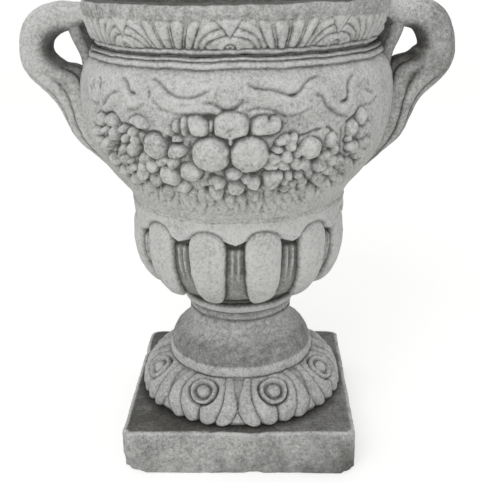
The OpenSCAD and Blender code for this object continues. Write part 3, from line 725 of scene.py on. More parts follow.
bodyGarland = {
    "sweeps": (
        (-37, 50, 40, 8, 232), (-41, 62, 38, 8, 238), (-45, 74, 36, 8, 244), (-49, 88, 34, 8, 250),
        (32.5, 38, 36, 9, 168), (39, 52, 40, 8, 134), (43, 64, 38, 8, 126), (47, 78, 36, 8, 118),
        (51, 92, 34, 8, 110)),
    "sideLeaves": (
        (-31, 143, 26, 7, 282), (-31, 99, 20, 7, 235), (-35, 76, 26, 8, 222), (-30, 68, 24, 8, 212),
        (-24.5, 97, 20, 6, 240), (-20, 97, 20, 6, 215), (-41.5, 92, 22, 7, 232), (-27, 50, 22, 7, 205),
        (17, 95, 22, 6, 128), (21.5, 96, 22, 6, 150), (25, 93, 22, 6, 165), (12.5, 95, 20, 6, 110),
        (36, 80, 24, 8, 150), (41, 86, 26, 8, 128), (45, 78, 28, 8, 124), (33, 66, 20, 7, 165),
        (34, 98, 22, 7, 75), (27, 60, 20, 7, 165), (50, 122, 22, 7, 40), (52, 106, 24, 7, 100),
        (14, 103, 18, 6, 95), (36.5, 92, 20, 7, 100)),
    "petals": (  # flower lobes and buds: place, half width, half length, height, turn
        (-44, 140, 8.6, 8.2, 7.5, 0), (-50.3, 138, 7.4, 9.4, 7, 70), (-43.4, 124, 7.6, 8.4, 7.5, 10),
        (-49, 109.5, 7.4, 12.5, 7.5, 62), (-54, 122, 5.6, 9, 6.5, 85), (-54.5, 111, 5, 8, 5, 70),
        (-38.2, 132.4, 4.6, 5.8, 7, 60), (-34.2, 130.6, 5.6, 6.8, 7.5, 60),
        (-37.6, 121.6, 4.8, 6.6, 7, 75), (-33.8, 120, 6, 6.4, 7.5, 0), (-35, 109.6, 7.8, 10, 8, 50),
        (-40.6, 106.4, 5, 8, 6.5, 60), (-33, 88, 6.8, 7, 6.5, 0), (-38.3, 92.6, 3.6, 5.6, 6.5, 60),
        (-38.2, 84, 5, 7, 6, 75), (19.2, 118.4, 6.4, 7, 8, 20), (18.2, 105.2, 6.6, 7.6, 8, 160),
        (15.2, 113.6, 4, 6.4, 7, 90), (22, 109, 5, 5.6, 7, 40), (16.8, 124.6, 5.2, 9, 6.5, 60),
        (20.2, 126.2, 4.6, 6, 6, 20), (20, 78, 4.8, 6.4, 7, 0), (23.6, 78.4, 4.8, 6, 7, 30),
        (19.3, 69, 5, 6.6, 7, 160), (24.8, 70, 5, 6.4, 7, 70), (22.3, 64, 5.6, 7, 7.2, 0),
        (20, 57, 5, 7.4, 6.4, 20), (23.4, 54, 4.8, 7, 6.4, 170), (31.6, 87, 9, 8, 7, 50),
        (34.5, 63, 6.8, 8, 6.4, 0), (47.1, 141, 7.2, 10, 8, 10), (42.8, 129, 7.6, 9.4, 8, 10),
        (44.6, 107, 10, 6.8, 8, 0), (47.6, 121, 5.2, 7, 7, 20), (34.2, 119, 6.4, 9, 6.8, 10),
        (36.4, 108, 4.6, 7, 6.4, 0), (42, 117, 4.4, 4, 6, 0)),
    "forms": (
        (8.6, ((-5.1, 134), (-5.1, 143), (-4.8, 151), (-3.6, 155), (-1.6, 157.5), (0.8, 157.8),
         (3, 156.5), (5, 153.5), (5.9, 147), (5.9, 138), (5.6, 132.5), (3.2, 131.5), (0.8, 129.5),
         (0, 126.5), (-0.8, 129.5), (-3, 131.5))),
        (8.0, ((6.7, 133), (6.8, 144), (7.6, 149.5), (9.2, 152), (11.2, 153), (11.7, 148), (12.6, 148),
         (13, 152.8), (14.8, 151.6), (16, 147), (15.8, 140.5), (14.8, 134.5), (12, 131.8), (9, 132))),
        (8.0, ((-12.4, 133), (-12.8, 141), (-13.4, 149.5), (-12.9, 154), (-11.6, 152.5), (-10.2, 154.5),
         (-8.4, 151), (-7.2, 147.5), (-7, 139), (-7.3, 132.8), (-9.4, 131.5))),
        (6.6, ((-15.2, 132), (-15.8, 140), (-15.6, 149), (-14.4, 153), (-13.5, 148), (-13.4, 139),
         (-13.8, 131))),
        (5.6, ((-18.4, 134), (-18.8, 141), (-18, 147.5), (-16.6, 150), (-16.1, 143), (-16.2, 134))),
        (6.4, ((-6.5, 137), (-6.6, 143), (-6.1, 150), (-5.5, 150), (-5.4, 143), (-5.5, 136.5))),
        (8.0, ((-21, 107), (-21.2, 113), (-19.8, 118.5), (-17, 121), (-14.9, 119.5), (-14.4, 113),
         (-15.6, 107), (-18.4, 104.6))),
        (6.6, ((-19.2, 124.4), (-18.8, 129), (-17, 131.4), (-15.6, 129), (-15.4, 124.6), (-17.2, 123.4))),
        (9.6, ((10.4, 85.5), (13, 86.8), (16, 86.4), (18.2, 84), (17.8, 77), (16.4, 69), (14.2, 62.5),
         (11.8, 65), (10.9, 74))),
        (6.8, ((-21.4, 57), (-21.8, 62.5), (-20, 68.5), (-17, 70.5), (-15.4, 66), (-16, 58),
         (-18.4, 52.5))),
        (6.8, ((-9, 50), (-9.4, 57), (-8.4, 63.5), (-6, 66), (-3.8, 60.5), (-4, 52), (-6.4, 46.5))),
        (5.6, ((-8.6, 69), (-8.4, 76), (-5.6, 80.5), (-3, 78), (-3.2, 70), (-5.6, 66.5))),
        (6.0, ((30, 50), (30.6, 40), (31.4, 28), (33, 20), (35.4, 27), (36, 39), (35.4, 49), (33, 55)))),
    "fruits": (
        (-25.6, 116.5, 14.8, 14.8, 10), (26.3, 112.6, 13.4, 12.4, 9.5), (-14, 86.4, 12.8, 11.6, 9.5),
        (-22.6, 78.6, 14, 11, 9, 60), (-28.6, 90, 8.4, 8.2, 8)),
    "apples": ((-6.5, 109.5, 20.8, 20.8, 12.4), (5.9, 109, 20.8, 20.8, 12.4)),
    "cuts": (  # half width, depth and bank of lines cut between the leaves
        (2.2, 4.0, 0.0, ((-41.6, 147), (-40.2, 141), (-40, 130), (-40.6, 120), (-43, 112.5), (-45, 104),
         (-47, 96), (-45, 89), (-43.5, 80))),
        (2.0, 3.2, 0.0, ((-50, 143), (-47.6, 146), (-45, 148), (-42, 147.6))),
        (2.0, 3.0, 0.0, ((-40, 138), (-35, 137.2), (-31.5, 133), (-29, 130.5), (-25, 133), (-21.5, 130))),
        (2.0, 2.6, 0.0, ((38.2, 137), (38.5, 125), (39, 112), (39.6, 101), (41, 94))),
        (2.0, 3.0, 0.0, ((38.6, 137), (42, 138.5), (44, 142.5), (45.6, 148.5), (47.2, 149.6), (49, 145.5),
         (50.4, 138), (53, 133))),
        (1.9, 3.2, 0.0, ((20.4, 124.4), (22, 128), (25, 129.5), (27, 132.4), (29, 133.8), (31, 134.6))),
        (1.9, 3.0, 1.0, ((31.4, 136), (33.6, 133), (35.2, 127.4))),
        (1.5, 2.6, 0.0, ((12.2, 109.6), (16.6, 109.4))),
        (1.5, 2.2, 0.0, ((12.4, 105), (16.4, 105))),
        (1.6, 2.4, 0.0, ((-21, 122.6), (-18.6, 122), (-15.4, 123))),
        (2.2, 2.4, 0.0, ((-42, 73), (-46, 62), (-49, 55))),
        (2.2, 2.6, 0.0, ((-43, 55), (-46, 49), (-49.5, 42))),
        (2.4, 2.6, 0.0, ((36, 80), (37.6, 70), (39.4, 60))),
        (1.6, 2.4, 0.0, ((-13.4, 100), (-13.6, 116), (-12.4, 129))),
        (1.5, 2.0, 0.0, ((-0.8, 143), (-0.9, 136), (-0.6, 128))),
        (1.8, 2.4, 0.0, ((1, 55), (1, 44)))),
    "stainsAndShade": (  # where soot and moss sit, with painted shade under and between the ornaments: place, half width, half length, strength
        (-30, 146, 40, 12, 0.14), (-42, 95, 22, 30, 0.16), (-24, 124, 26, 14, 0.12),
        (25, 143, 42, 11, 0.12), (-30, 60, 34, 14, 0.16), (-5, 80, 26, 8, 0.14), (8, 46, 36, 14, 0.16),
        (0, 33, 60, 12, 0.08), (24, 60, 26, 16, 0.14), (40, 90, 30, 30, 0.14), (22, 98, 24, 10, 0.1),
        (16, 66, 12, 12, 0.12), (-16, 120, 14, 26, 0.12), (47, 66, 18, 14, 0.2), (-55, 90, 16, 14, 0.14),
        (52, 120, 12, 24, 0.1)),
    "rosette": (  # the low flower's petals: half width, half length, place
        (8.2, 8.6, 7.5, 71.5), (7.2, 7, 7.6, 50), (6.6, 7.2, 3.3, 44.4), (6.4, 7, -1.1, 44.4),
        (7.4, 9, -5.8, 55), (7, 6.4, -4.4, 70), (9.4, 6.6, 0.8, 85.4), (5.4, 5, 4.8, 78)),
    "dents": (  # small finger marks: place, half width, half length, depth
        (-8.5, 123, 1.6, 2.4, 2.5), (-6.4, 125, 2.2, 2.2, 3), (-8, 108, 2.5, 3, 1.2),
        (5.5, 102.5, 7, 2.6, 1.6), (0, 77, 2, 3.5, 4), (12, 149, 1.4, 3, 2.5)),
    "holes": (  # dark gaps between the fruit: place, half width, half length
        (-44.5, 105, 4, 4), (-47.5, 93, 5, 4), (-44, 81, 4.5, 5), (-32, 113, 3.5, 3.5),
        (-20.2, 124, 3.5, 5), (-25.5, 62, 6, 4.5), (-32.5, 55, 4.5, 6), (7.4, 86, 7.5, 4),
        (10.4, 64, 2.5, 6), (29, 95, 4.5, 4), (31, 108, 2.5, 4), (31.5, 77, 3.5, 3.5), (29.5, 60, 4, 3),
        (37, 62, 3.5, 4), (35.5, 47, 4, 4), (19.5, 51, 5, 3.5), (26, 49.5, 4, 3), (41, 116, 2.5, 3),
        (49, 116, 2.5, 3), (47.5, 92, 4.5, 3.5), (-6.5, 153, 6.5, 3), (-6.7, 82, 3.5, 2.5),
        (-10, 57, 3, 5), (-28.7, 76, 3, 2.5), (5.8, 134, 1.6, 5), (-5.3, 138, 1.6, 6), (18.4, 81, 1.4, 6),
        (-40.2, 131, 2, 7), (52.5, 80, 7, 5), (-54, 103, 5, 3)),
}


class ReliefMap:  # heights over the side, seen as rows up the profile and columns round it
    def __init__(self, angles, s, scale):
        self.angles, self.s, self.scale = angles, s, scale
        self.height = np.zeros((len(s), len(angles)))
        self.sootAndShade = np.zeros((len(s), len(angles)))

    def window(self, angle, s, reach):
        rows = slice(*np.searchsorted(self.s, (s - reach, s + reach)))
        cols = slice(*np.searchsorted(self.angles, (angle - reach / 2.4, angle + reach / 2.4)))
        x = (self.angles[None, cols] - angle) * self.scale[rows, None]
        return (rows, cols), x, self.s[rows, None] - s + 0 * x

    def press(self, at, inside, height, moat=None):  # inside is the mm from the outline, below 0 outside it
        old = self.height[at]
        depth = bodySet["moat"] if moat is None else moat
        ground = np.maximum(old - depth * hump(inside, 2.2), np.minimum(old, -3.0))
        self.height[at] = np.where(inside > 0, np.maximum(height, old * 0.25), ground)

    def fruit(self, angle, s, across, up, height, turn=0.0, flat=0.0, moat=None):
        at, x, y = self.window(angle, s, 1.6 * max(across, up))
        a = math.radians(turn)
        along, side = x * math.sin(a) + y * math.cos(a), x * math.cos(a) - y * math.sin(a)
        off = np.hypot(side / across, along / up)
        inside = (1 - off) * min(across, up)
        crown = flat * dome(1 - np.clip(inside / 2.5, 0, 1)) + (1 - flat) * dome(off * 0.985)
        self.press(at, inside, height * crown, moat)

    def form(self, outline, height, edge=5.0, moat=None):  # a closed shape drawn on the side by its corners
        corners = np.array(outline, float)
        middle = corners.mean(0)
        degree = float(np.interp(middle[1], self.s, self.scale))
        count = len(corners)
        fine = np.arange(0, count, 0.125)
        flat = (corners[:, 0] - middle[0]) * degree, corners[:, 1] - middle[1]
        closed = [np.interp(fine, np.arange(count + 1), np.append(v, v[0])) for v in flat]
        loop = np.stack([blurAxis(v, 3.2, 0) for v in closed], 1)
        at, x, y = self.window(middle[0], middle[1], np.abs(loop).max() + 9)
        away = np.full(x.shape, 99.0)
        within = np.zeros(x.shape, bool)
        for (ax, ay), (bx, by) in zip(loop, np.roll(loop, -1, 0)):
            dx, dy = bx - ax, by - ay
            t = np.clip(((x - ax) * dx + (y - ay) * dy) / (dx * dx + dy * dy + 1e-9), 0, 1)
            away = np.minimum(away, np.hypot(x - ax - t * dx, y - ay - t * dy))
            within ^= ((ay > y) != (by > y)) & (x < ax + (y - ay) * dx / (dy or 1e-9))
        inside = np.where(within, away, -away)
        self.press(at, inside, height * dome(1 - np.clip(inside / edge, 0, 1)) ** 0.8, moat)

    def near(self, route, reach):
        # cells round a smoothed route: how far off they are, on which side, and how far along
        path = np.array(route, float)
        run = np.concatenate([[0], np.cumsum(np.hypot(np.diff(path[:, 0]) * 3.3, np.diff(path[:, 1])))])
        fine = np.linspace(0, run[-1], max(24, int(run[-1] / 2)))
        padded = [np.pad(np.interp(fine, run, path[:, k]), 6, "edge") for k in (0, 1)]
        path = np.stack([blurAxis(v, 1.2, 0)[6:-6] for v in padded], 1)
        middle = path.mean(0)
        span = max(np.ptp(path[:, 0]) * 1.9, np.ptp(path[:, 1]) * 0.8)
        at, x, y = self.window(middle[0], middle[1], span + reach)
        degree = self.scale[at[0], None]
        away = np.full(x.shape, 99.0)
        side = np.zeros(x.shape)
        share = np.zeros(x.shape)
        for k in range(len(path) - 1):
            px, py = x - (path[k, 0] - middle[0]) * degree, y - (path[k, 1] - middle[1])
            dx, dy = (path[k + 1, 0] - path[k, 0]) * degree, path[k + 1, 1] - path[k, 1]
            t = np.clip((px * dx + py * dy) / (dx * dx + dy * dy + 1e-6), 0, 1)
            gap = np.hypot(px - t * dx, py - t * dy)
            closer = gap < away
            side = np.where(closer, np.sign(px * dy - py * dx), side)
            share = np.where(closer, (k + t) / (len(path) - 1), share)
            away = np.minimum(away, gap)
        return at, away, side, share

    def groove(self, route, half, depth, bank=0.0, spread=8.0):  # a cut whose right-hand bank swells up
        at, away, side, share = self.near(route, 3 * spread)
        ends = smooth(0, 0.14, share) * (1 - smooth(0.86, 1, share))
        swell = bank * smooth(0, 2.4, away) * hump(away, spread) * (side > 0)
        self.height[at] += ends * (swell - depth * hump(away, half))

    def leaf(self, angle, s, length, half, turn, height=6.0, vein=1.3, point=0.8, bend=0.0, moat=None):
        at, x, y = self.window(angle, s, length * 0.8 + half)
        a = math.radians(turn)
        along = (x * math.sin(a) + y * math.cos(a)) / length + 0.5
        across = x * math.cos(a) - y * math.sin(a) + bend * (along - 0.5) ** 2
        t = np.clip(along, 0, 1)
        width = half * np.clip(np.sin(math.pi * t ** point), 0, 1) ** 0.62
        inside = np.where((along > 0) & (along < 1), width - np.abs(across), -np.hypot(
            np.maximum(np.abs(along - 0.5) - 0.5, 0) * length, np.abs(across)))
        body = height * (0.5 + 0.5 * dome(across / np.maximum(width, 0.5)) ** 0.8) * (0.72 + 0.28 * t)
        body -= vein * hump(across, 0.9) * (1 - smooth(0.75, 1, t))
        self.press(at, inside, body, moat)

    # a soft dark patch of dirt and painted shade
    def stainAndShade(self, angle, s, across, up, strength):
        at, x, y = self.window(angle, s, 2.4 * max(across, up))
        self.sootAndShade[at] += strength * np.exp(-1.2 * ((x / across) ** 2 + (y / up) ** 2))

    def hole(self, angle, s, across, up, depth=5.5):
        at, x, y = self.window(angle, s, 2.5 * max(across, up))
        self.height[at] -= depth * np.exp(-1.1 * ((x / across) ** 2 + (y / up) ** 2) ** 1.4)


def stampGarland(relief):
    rng = np.random.default_rng(41)
    for layer, (base, gap, half, lift) in enumerate(((52, 3.1, 5.0, 2.0), (57, 3.6, 5.4, 3.0))):
        for k in range(-14, 15):
            angle = gap * (k + 0.5 * layer) + 0.8
            if abs(angle) > 41:
                continue
            tip = 9 + layer * 12 + 0.0075 * angle * angle + rng.uniform(-4, 4)
            length = base - tip
            turn = 180 - 0.85 * angle + rng.uniform(-6, 6)
            lean = math.sin(math.radians(turn)) * length / 2 / 2.7
            relief.leaf(angle + lean, base - length / 2, length * 1.08, half * rng.uniform(0.8, 1.2), turn,
                        lift * rng.uniform(0.6, 1.3), 0.5, 0.62, rng.uniform(-8, 8), 0.9)
    for angle, s, length, half, turn in bodyGarland["sweeps"]:
        relief.leaf(angle, s, length, half, turn, 4.6, 0.8, 0.7, 8, 1.6)
    for angle, s, length, half, turn in bodyGarland["sideLeaves"]:
        relief.leaf(angle, s, length, half, turn, 5.4, 0.9, 0.9, 5, 1.8)
    for height, outline in bodyGarland["forms"]:
        relief.form(outline, height)
    for angle, s, across, up, height, turn in bodyGarland["petals"]:
        relief.fruit(angle, s, across, up, height, turn, 0.3, 2.2)
    relief.fruit(-47.6, 127, 4.4, 4.4, 8.4)
    relief.fruit(-36, 125.6, 2.8, 2.8, 8)
    for kind in ("fruits", "apples"):
        for fruit in bodyGarland[kind]:
            relief.fruit(*fruit)
    relief.fruit(0, 128.5, 1.3, 7.5, 9.5)
    for half, depth, bank, route in bodyGarland["cuts"]:
        relief.groove(route, half, depth, bank)
    for across, up, angle, s in bodyGarland["rosette"]:
        relief.fruit(angle, s, across, up, 9, 0, 0.35)
    relief.fruit(1.5, 64, 9.4, 8.2, 11)
    relief.hole(1.5, 64, 6, 5.2, 1.6)
    relief.fruit(1.5, 64, 3.4, 3, 11, 0, 0, 0.4)
    for angle, s, across, up in bodyGarland["holes"]:
        relief.hole(angle, s, across * 1.25, up * 1.25, 4.6)
    for angle, s, across, up, strength in bodyGarland["stainsAndShade"]:
        relief.stainAndShade(angle, s, across, up, strength)
    for angle, s, across, up, depth in bodyGarland["dents"]:
        relief.hole(angle, s, across, up, depth)
    wide, tall = np.meshgrid(relief.angles * 3.4, relief.s)
    spot = np.stack([wide, tall, relief.height], -1)
    proud = smooth(1.5, 4.5, relief.height)   # a mould cut by hand leaves nothing quite smooth
    rough = 0.75 * waves(spot, 9, 71) + 0.6 * waves(spot, 5, 72) + 0.35 * waves(spot, 3.2, 73)
    relief.height += proud * rough
    relief.sootAndShade += 0.09 * smooth(1, 4, relief.height) * (waves(spot, 12, 74) + waves(spot, 4.4, 75))


ribbonSet = {
    "edges": (  # half width, depth and bank of each cut, then its route with the cloth on its right
        (1.9, 2.8, 2.6, ((-28.5, 191.5), (-26, 191), (-24, 188.5), (-22.5, 184), (-20.5, 177.5),
         (-18.5, 174), (-16, 171.8), (-13, 172), (-10.5, 174), (-8, 178), (-5.5, 183), (-3.5, 184.5))),
        (1.7, 1.5, 1.8, ((-3.5, 156.5), (-8.5, 156.5), (-11, 156), (-13.5, 155), (-16, 154.5),
         (-18.5, 155.5), (-21, 158), (-23, 161.5), (-24.5, 166), (-26, 172))),
        (1.6, 1.2, 1.0, ((-4, 183.5), (-4.3, 178), (-5.3, 171))),
        (2.0, 2.6, 1.8, ((-9.5, 165.5), (-7, 168.3), (-5, 167.5), (-3.5, 163.5), (-2, 159), (-1, 158),
         (0.5, 158.5), (2, 161.5), (4, 167), (6, 171))),
        (2.0, 3.0, 1.8, ((-40.5, 191), (-38.5, 189.5), (-37, 186.5), (-36, 181), (-35.3, 176), (-34, 174),
         (-31.6, 174.5))),
        (2.0, 2.2, 2.0, ((-49.5, 153.5), (-48, 156), (-46.5, 160), (-45.5, 165), (-44, 169.5),
         (-42, 172.5), (-39.2, 174.5))),
        (1.6, 1.6, 1.6, ((-28.7, 168), (-29.5, 162), (-31, 158.5), (-33, 156.5), (-36.5, 156.5))),
        (1.9, 3.0, 2.6, ((4.3, 190), (5.8, 186.5), (7.5, 182), (10, 180.8), (13, 180.3), (15.5, 178),
         (17.5, 174.5), (19.5, 173.2), (21.5, 174.5), (22.7, 178), (24, 184), (26, 189), (28, 191),
         (31.5, 191))),
        (1.6, 1.3, 1.6, ((27, 160), (24, 155.5), (21.5, 152.5), (19, 151.3), (15.5, 152.5))),
        (1.6, 2.4, 1.0, ((4.3, 155), (5.5, 158), (7, 160), (9, 161), (12, 160.5), (14, 157.5),
         (15.5, 154), (18.5, 151))),
        (1.7, 2.4, 0.0, ((6.3, 146), (7, 150.5), (8.5, 153.5), (10.5, 155), (13, 154), (15, 151))),
        (2.0, 2.4, 2.4, ((41.5, 142.5), (39, 144), (36.5, 148), (34, 153), (32, 159.5), (31, 166),
         (30, 171.5), (28.5, 173.8), (26.6, 173))),
        (2.1, 3.2, 1.6, ((36, 160.5), (38.5, 160), (40.5, 160.5), (41, 165), (41, 172), (41.2, 178),
         (42.5, 183), (44.5, 187), (47, 189.5))),
        (1.7, 1.8, 1.2, ((49.5, 171), (52.5, 165), (55.5, 161.5))),
        (1.8, 2.0, 1.2, ((58, 161), (56, 156), (52, 152), (48.6, 153.5))),
        (1.5, 2.0, 0.8, ((52, 181), (52, 172))),
        (1.5, 2.2, 0.8, ((-55.3, 184), (-55, 169))),
        (1.7, 2.6, 0.8, ((-52.5, 187), (-50.6, 182), (-50.2, 171))),
        (1.6, 1.6, 1.4, ((-50.5, 158), (-53, 154.5), (-56, 158)))),
    "spread": 9.0,
    "nicks": (
        (-15, 165.6, 5, 2.8), (-27, 176, 2.6, 6.5), (-33.8, 174, 4.5, 2.4), (40, 161, 4.5, 2.4),
        (-1.6, 158.5, 4, 3), (20, 173.5, 6, 2.4), (-57, 172, 3, 6)),
}


def stampRibbons(relief):
    for half, depth, bank, route in ribbonSet["edges"]:
        relief.groove(route, 1.35 * half, depth, bank, ribbonSet["spread"])
    for angle, s, across, up in ribbonSet["nicks"]:
        relief.hole(angle, s, across, up, 2.8)


def makeBodyHalf(name, half):
    low, high = nodeBox("garland_body")
    z, r, waist, wall = low[2], bodySet["bodyR"], bodySet["waistR"], bodySet["wall"]
    swell = bezier([(waist, z), (waist, z + 25), (r, z + 48), (r, z + 133.3)], 60).tolist()
    swell += bezier([(r, z + 134.3), (r, z + 158), (r - 4, z + 174), (r - 16, z + 182.4)], 30).tolist()
    shoulder = [(r - back, z + up) for back, up in bodySet["shoulder"]] + [(r - 28, high[2])]
    profile, s = evenSteps(swell + shoulder, bodySet["step"])
    angles = np.linspace(-90, 90, bodySet["cols"])
    relief = ReliefMap(angles, s, profile[:, 0] * math.pi / 180)
    stampRibbons(relief)
    stampGarland(relief)
    lift = blurAxis(blurAxis(relief.height, 0.7, 0), 0.7, 1)
    ease = smooth(0, 27, s) * (1 - smooth(bodySet["reliefTop"] - 8, bodySet["reliefTop"] - 3, s))
    lift = lift * ease[:, None]
    inner = [(x - wall, y) for x, y in swell[90:0:-18]]
    closing = [(r - 28 - wall, high[2])] + inner + [(waist - wall, z)]
    points = turnBy(turned(profile, angles, lift, closing), half * 180)
    rows = len(profile)
    depth = hollows(points[:rows], 180, bodySet["step"])
    grimeAndShade = np.full(points.shape[:2], 0.75)
    # painted shade in the creases and on the sunken ground round the ornaments, with the patches of dirt and
    # shade
    grimeAndShade[:rows] = 0.15 + 0.43 * np.clip(depth, -0.35, 1.4) + 0.12 * smooth(1.0, 4.5, -lift) + relief.sootAndShade
    grimeAndShade[:rows] -= 0.16 * (1 - smooth(22, 44, s))[:, None]
    up = profile[:, 1] - z
    grimeAndShade[:rows] -= 0.26 * (np.clip(depth, 0, 1.4) * smooth(181, 183, up)[:, None])
    # painted shadow lines under the shoulder's mouldings
    lines = 0.12 * hump(up - 183.8, 1.8) + 0.3 * hump(up - 192, 1.6) + 0.3 * smooth(194.6, 195.8, up)
    corner = smooth(184, 192, up)[:, None] * smooth(42, 72, np.abs(angles))[None, :]   # painted shade under the handles
    grimeAndShade[:rows] += lines[:, None] + 0.3 * corner
    grimeAndShade[:rows] = np.minimum(grimeAndShade[:rows], 0.72 + 0.2 * smooth(180, 190, up)[:, None])
    piece = gridMesh(name, points, caps=True, fields={"grimeAndShade": grimeAndShade})
    castInStone(piece, "garland_body")


makeBodyHalf("garlandBodyFront", 0)
makeBodyHalf("garlandBodyBack", 1)
print("garland body ready")


# Handles: a thick scrolled strap whose tail is twisted from three strands, and a forked spur to the shoulder

handleSet = {  # x and z of the strap's outer and inner edge at the same stations, in mm
    "outer": (
        (182, 592), (215, 596), (236, 594.5), (253, 587.5), (265, 577), (273, 562), (277, 541),
        (277.5, 523), (273.5, 508), (262, 494), (250, 483), (239, 473), (231, 461), (226, 448),
        (222, 434), (216, 421), (206, 409), (194, 400), (180, 388), (168, 376)),
    "inner": (
        (182, 562), (207, 560), (219, 558), (229, 554), (236, 547), (239, 539), (238, 532), (233.5, 526),
        (226, 521), (216, 518), (205, 516.5), (194, 513), (187, 498), (183, 475), (179, 455), (175, 437),
        (170, 420), (165, 403), (159, 387), (155, 372)),
    "widthAt": ((0, 5, 12, 15, 19), (25, 29, 27, 21, 8)), "rightSnug": (6, 7), "around": 150, "step": 1.7,
    "strands": 9, "strandPitch": 190, "strandDepth": 3.4, "plaitFrom": 8, "shadedSide": 0.3,
    "spur": (
        (203, 574), (203, 562), (200, 549), (194, 537), (191, 524), (191, 510), (195, 495), (198, 480),
        (198, 464)),
    "spurThick": (9, 8.5, 7.5, 7, 6.5, 6, 5, 4, 3), "spurSplay": (13, 13, 12, 11, 9, 8, 8, 8, 8),
    "webBack": 8, "webThick": 1.9,
}


def drawnLine(points, count, soft):  # a line through given points, with its corners rubbed round
    points = np.array(points, float)
    at = np.linspace(0, len(points) - 1, count)
    raw = np.stack([np.interp(at, np.arange(len(points)), points[:, k]) for k in (0, 1)], 1)
    pad = int(3 * soft) + 2
    ends = np.pad(raw, ((pad, pad), (0, 0)), "reflect", reflect_type="odd")
    return blurAxis(ends, soft, 0)[pad:-pad]


def sweep(route, out, halfWide, halfThick, around, square=0.72):
    # rows round a flat tube, columns along its route in the x, z plane
    a = np.linspace(0, 2 * math.pi, around, endpoint=False)[:, None]
    c, b = np.cos(a), np.sin(a)
    y = np.sign(c) * np.abs(c) ** square * halfWide[None, :]
    off = np.sign(b) * np.abs(b) ** square * halfThick[None, :]
    x = route[None, :, 0] + out[None, :, 0] * off
    z = route[None, :, 1] + out[None, :, 1] * off
    return np.stack([x, y, z], -1), np.repeat(a, len(route), 1)


def closedTube(name, node, points, grimeAndShade, side, amount=1.0):  # mirrored to its side, with its faces outwards
    points = points * (side, 1, 1)
    if np.sum(gridNormals(points)[1:-1] * (points - points.mean(0, keepdims=True))[1:-1]) < 0:
        points, grimeAndShade = points[::-1], grimeAndShade[::-1]
    piece = gridMesh(name, points, caps=True, fields={"grimeAndShade": grimeAndShade})
    castInStone(piece, node, amount)


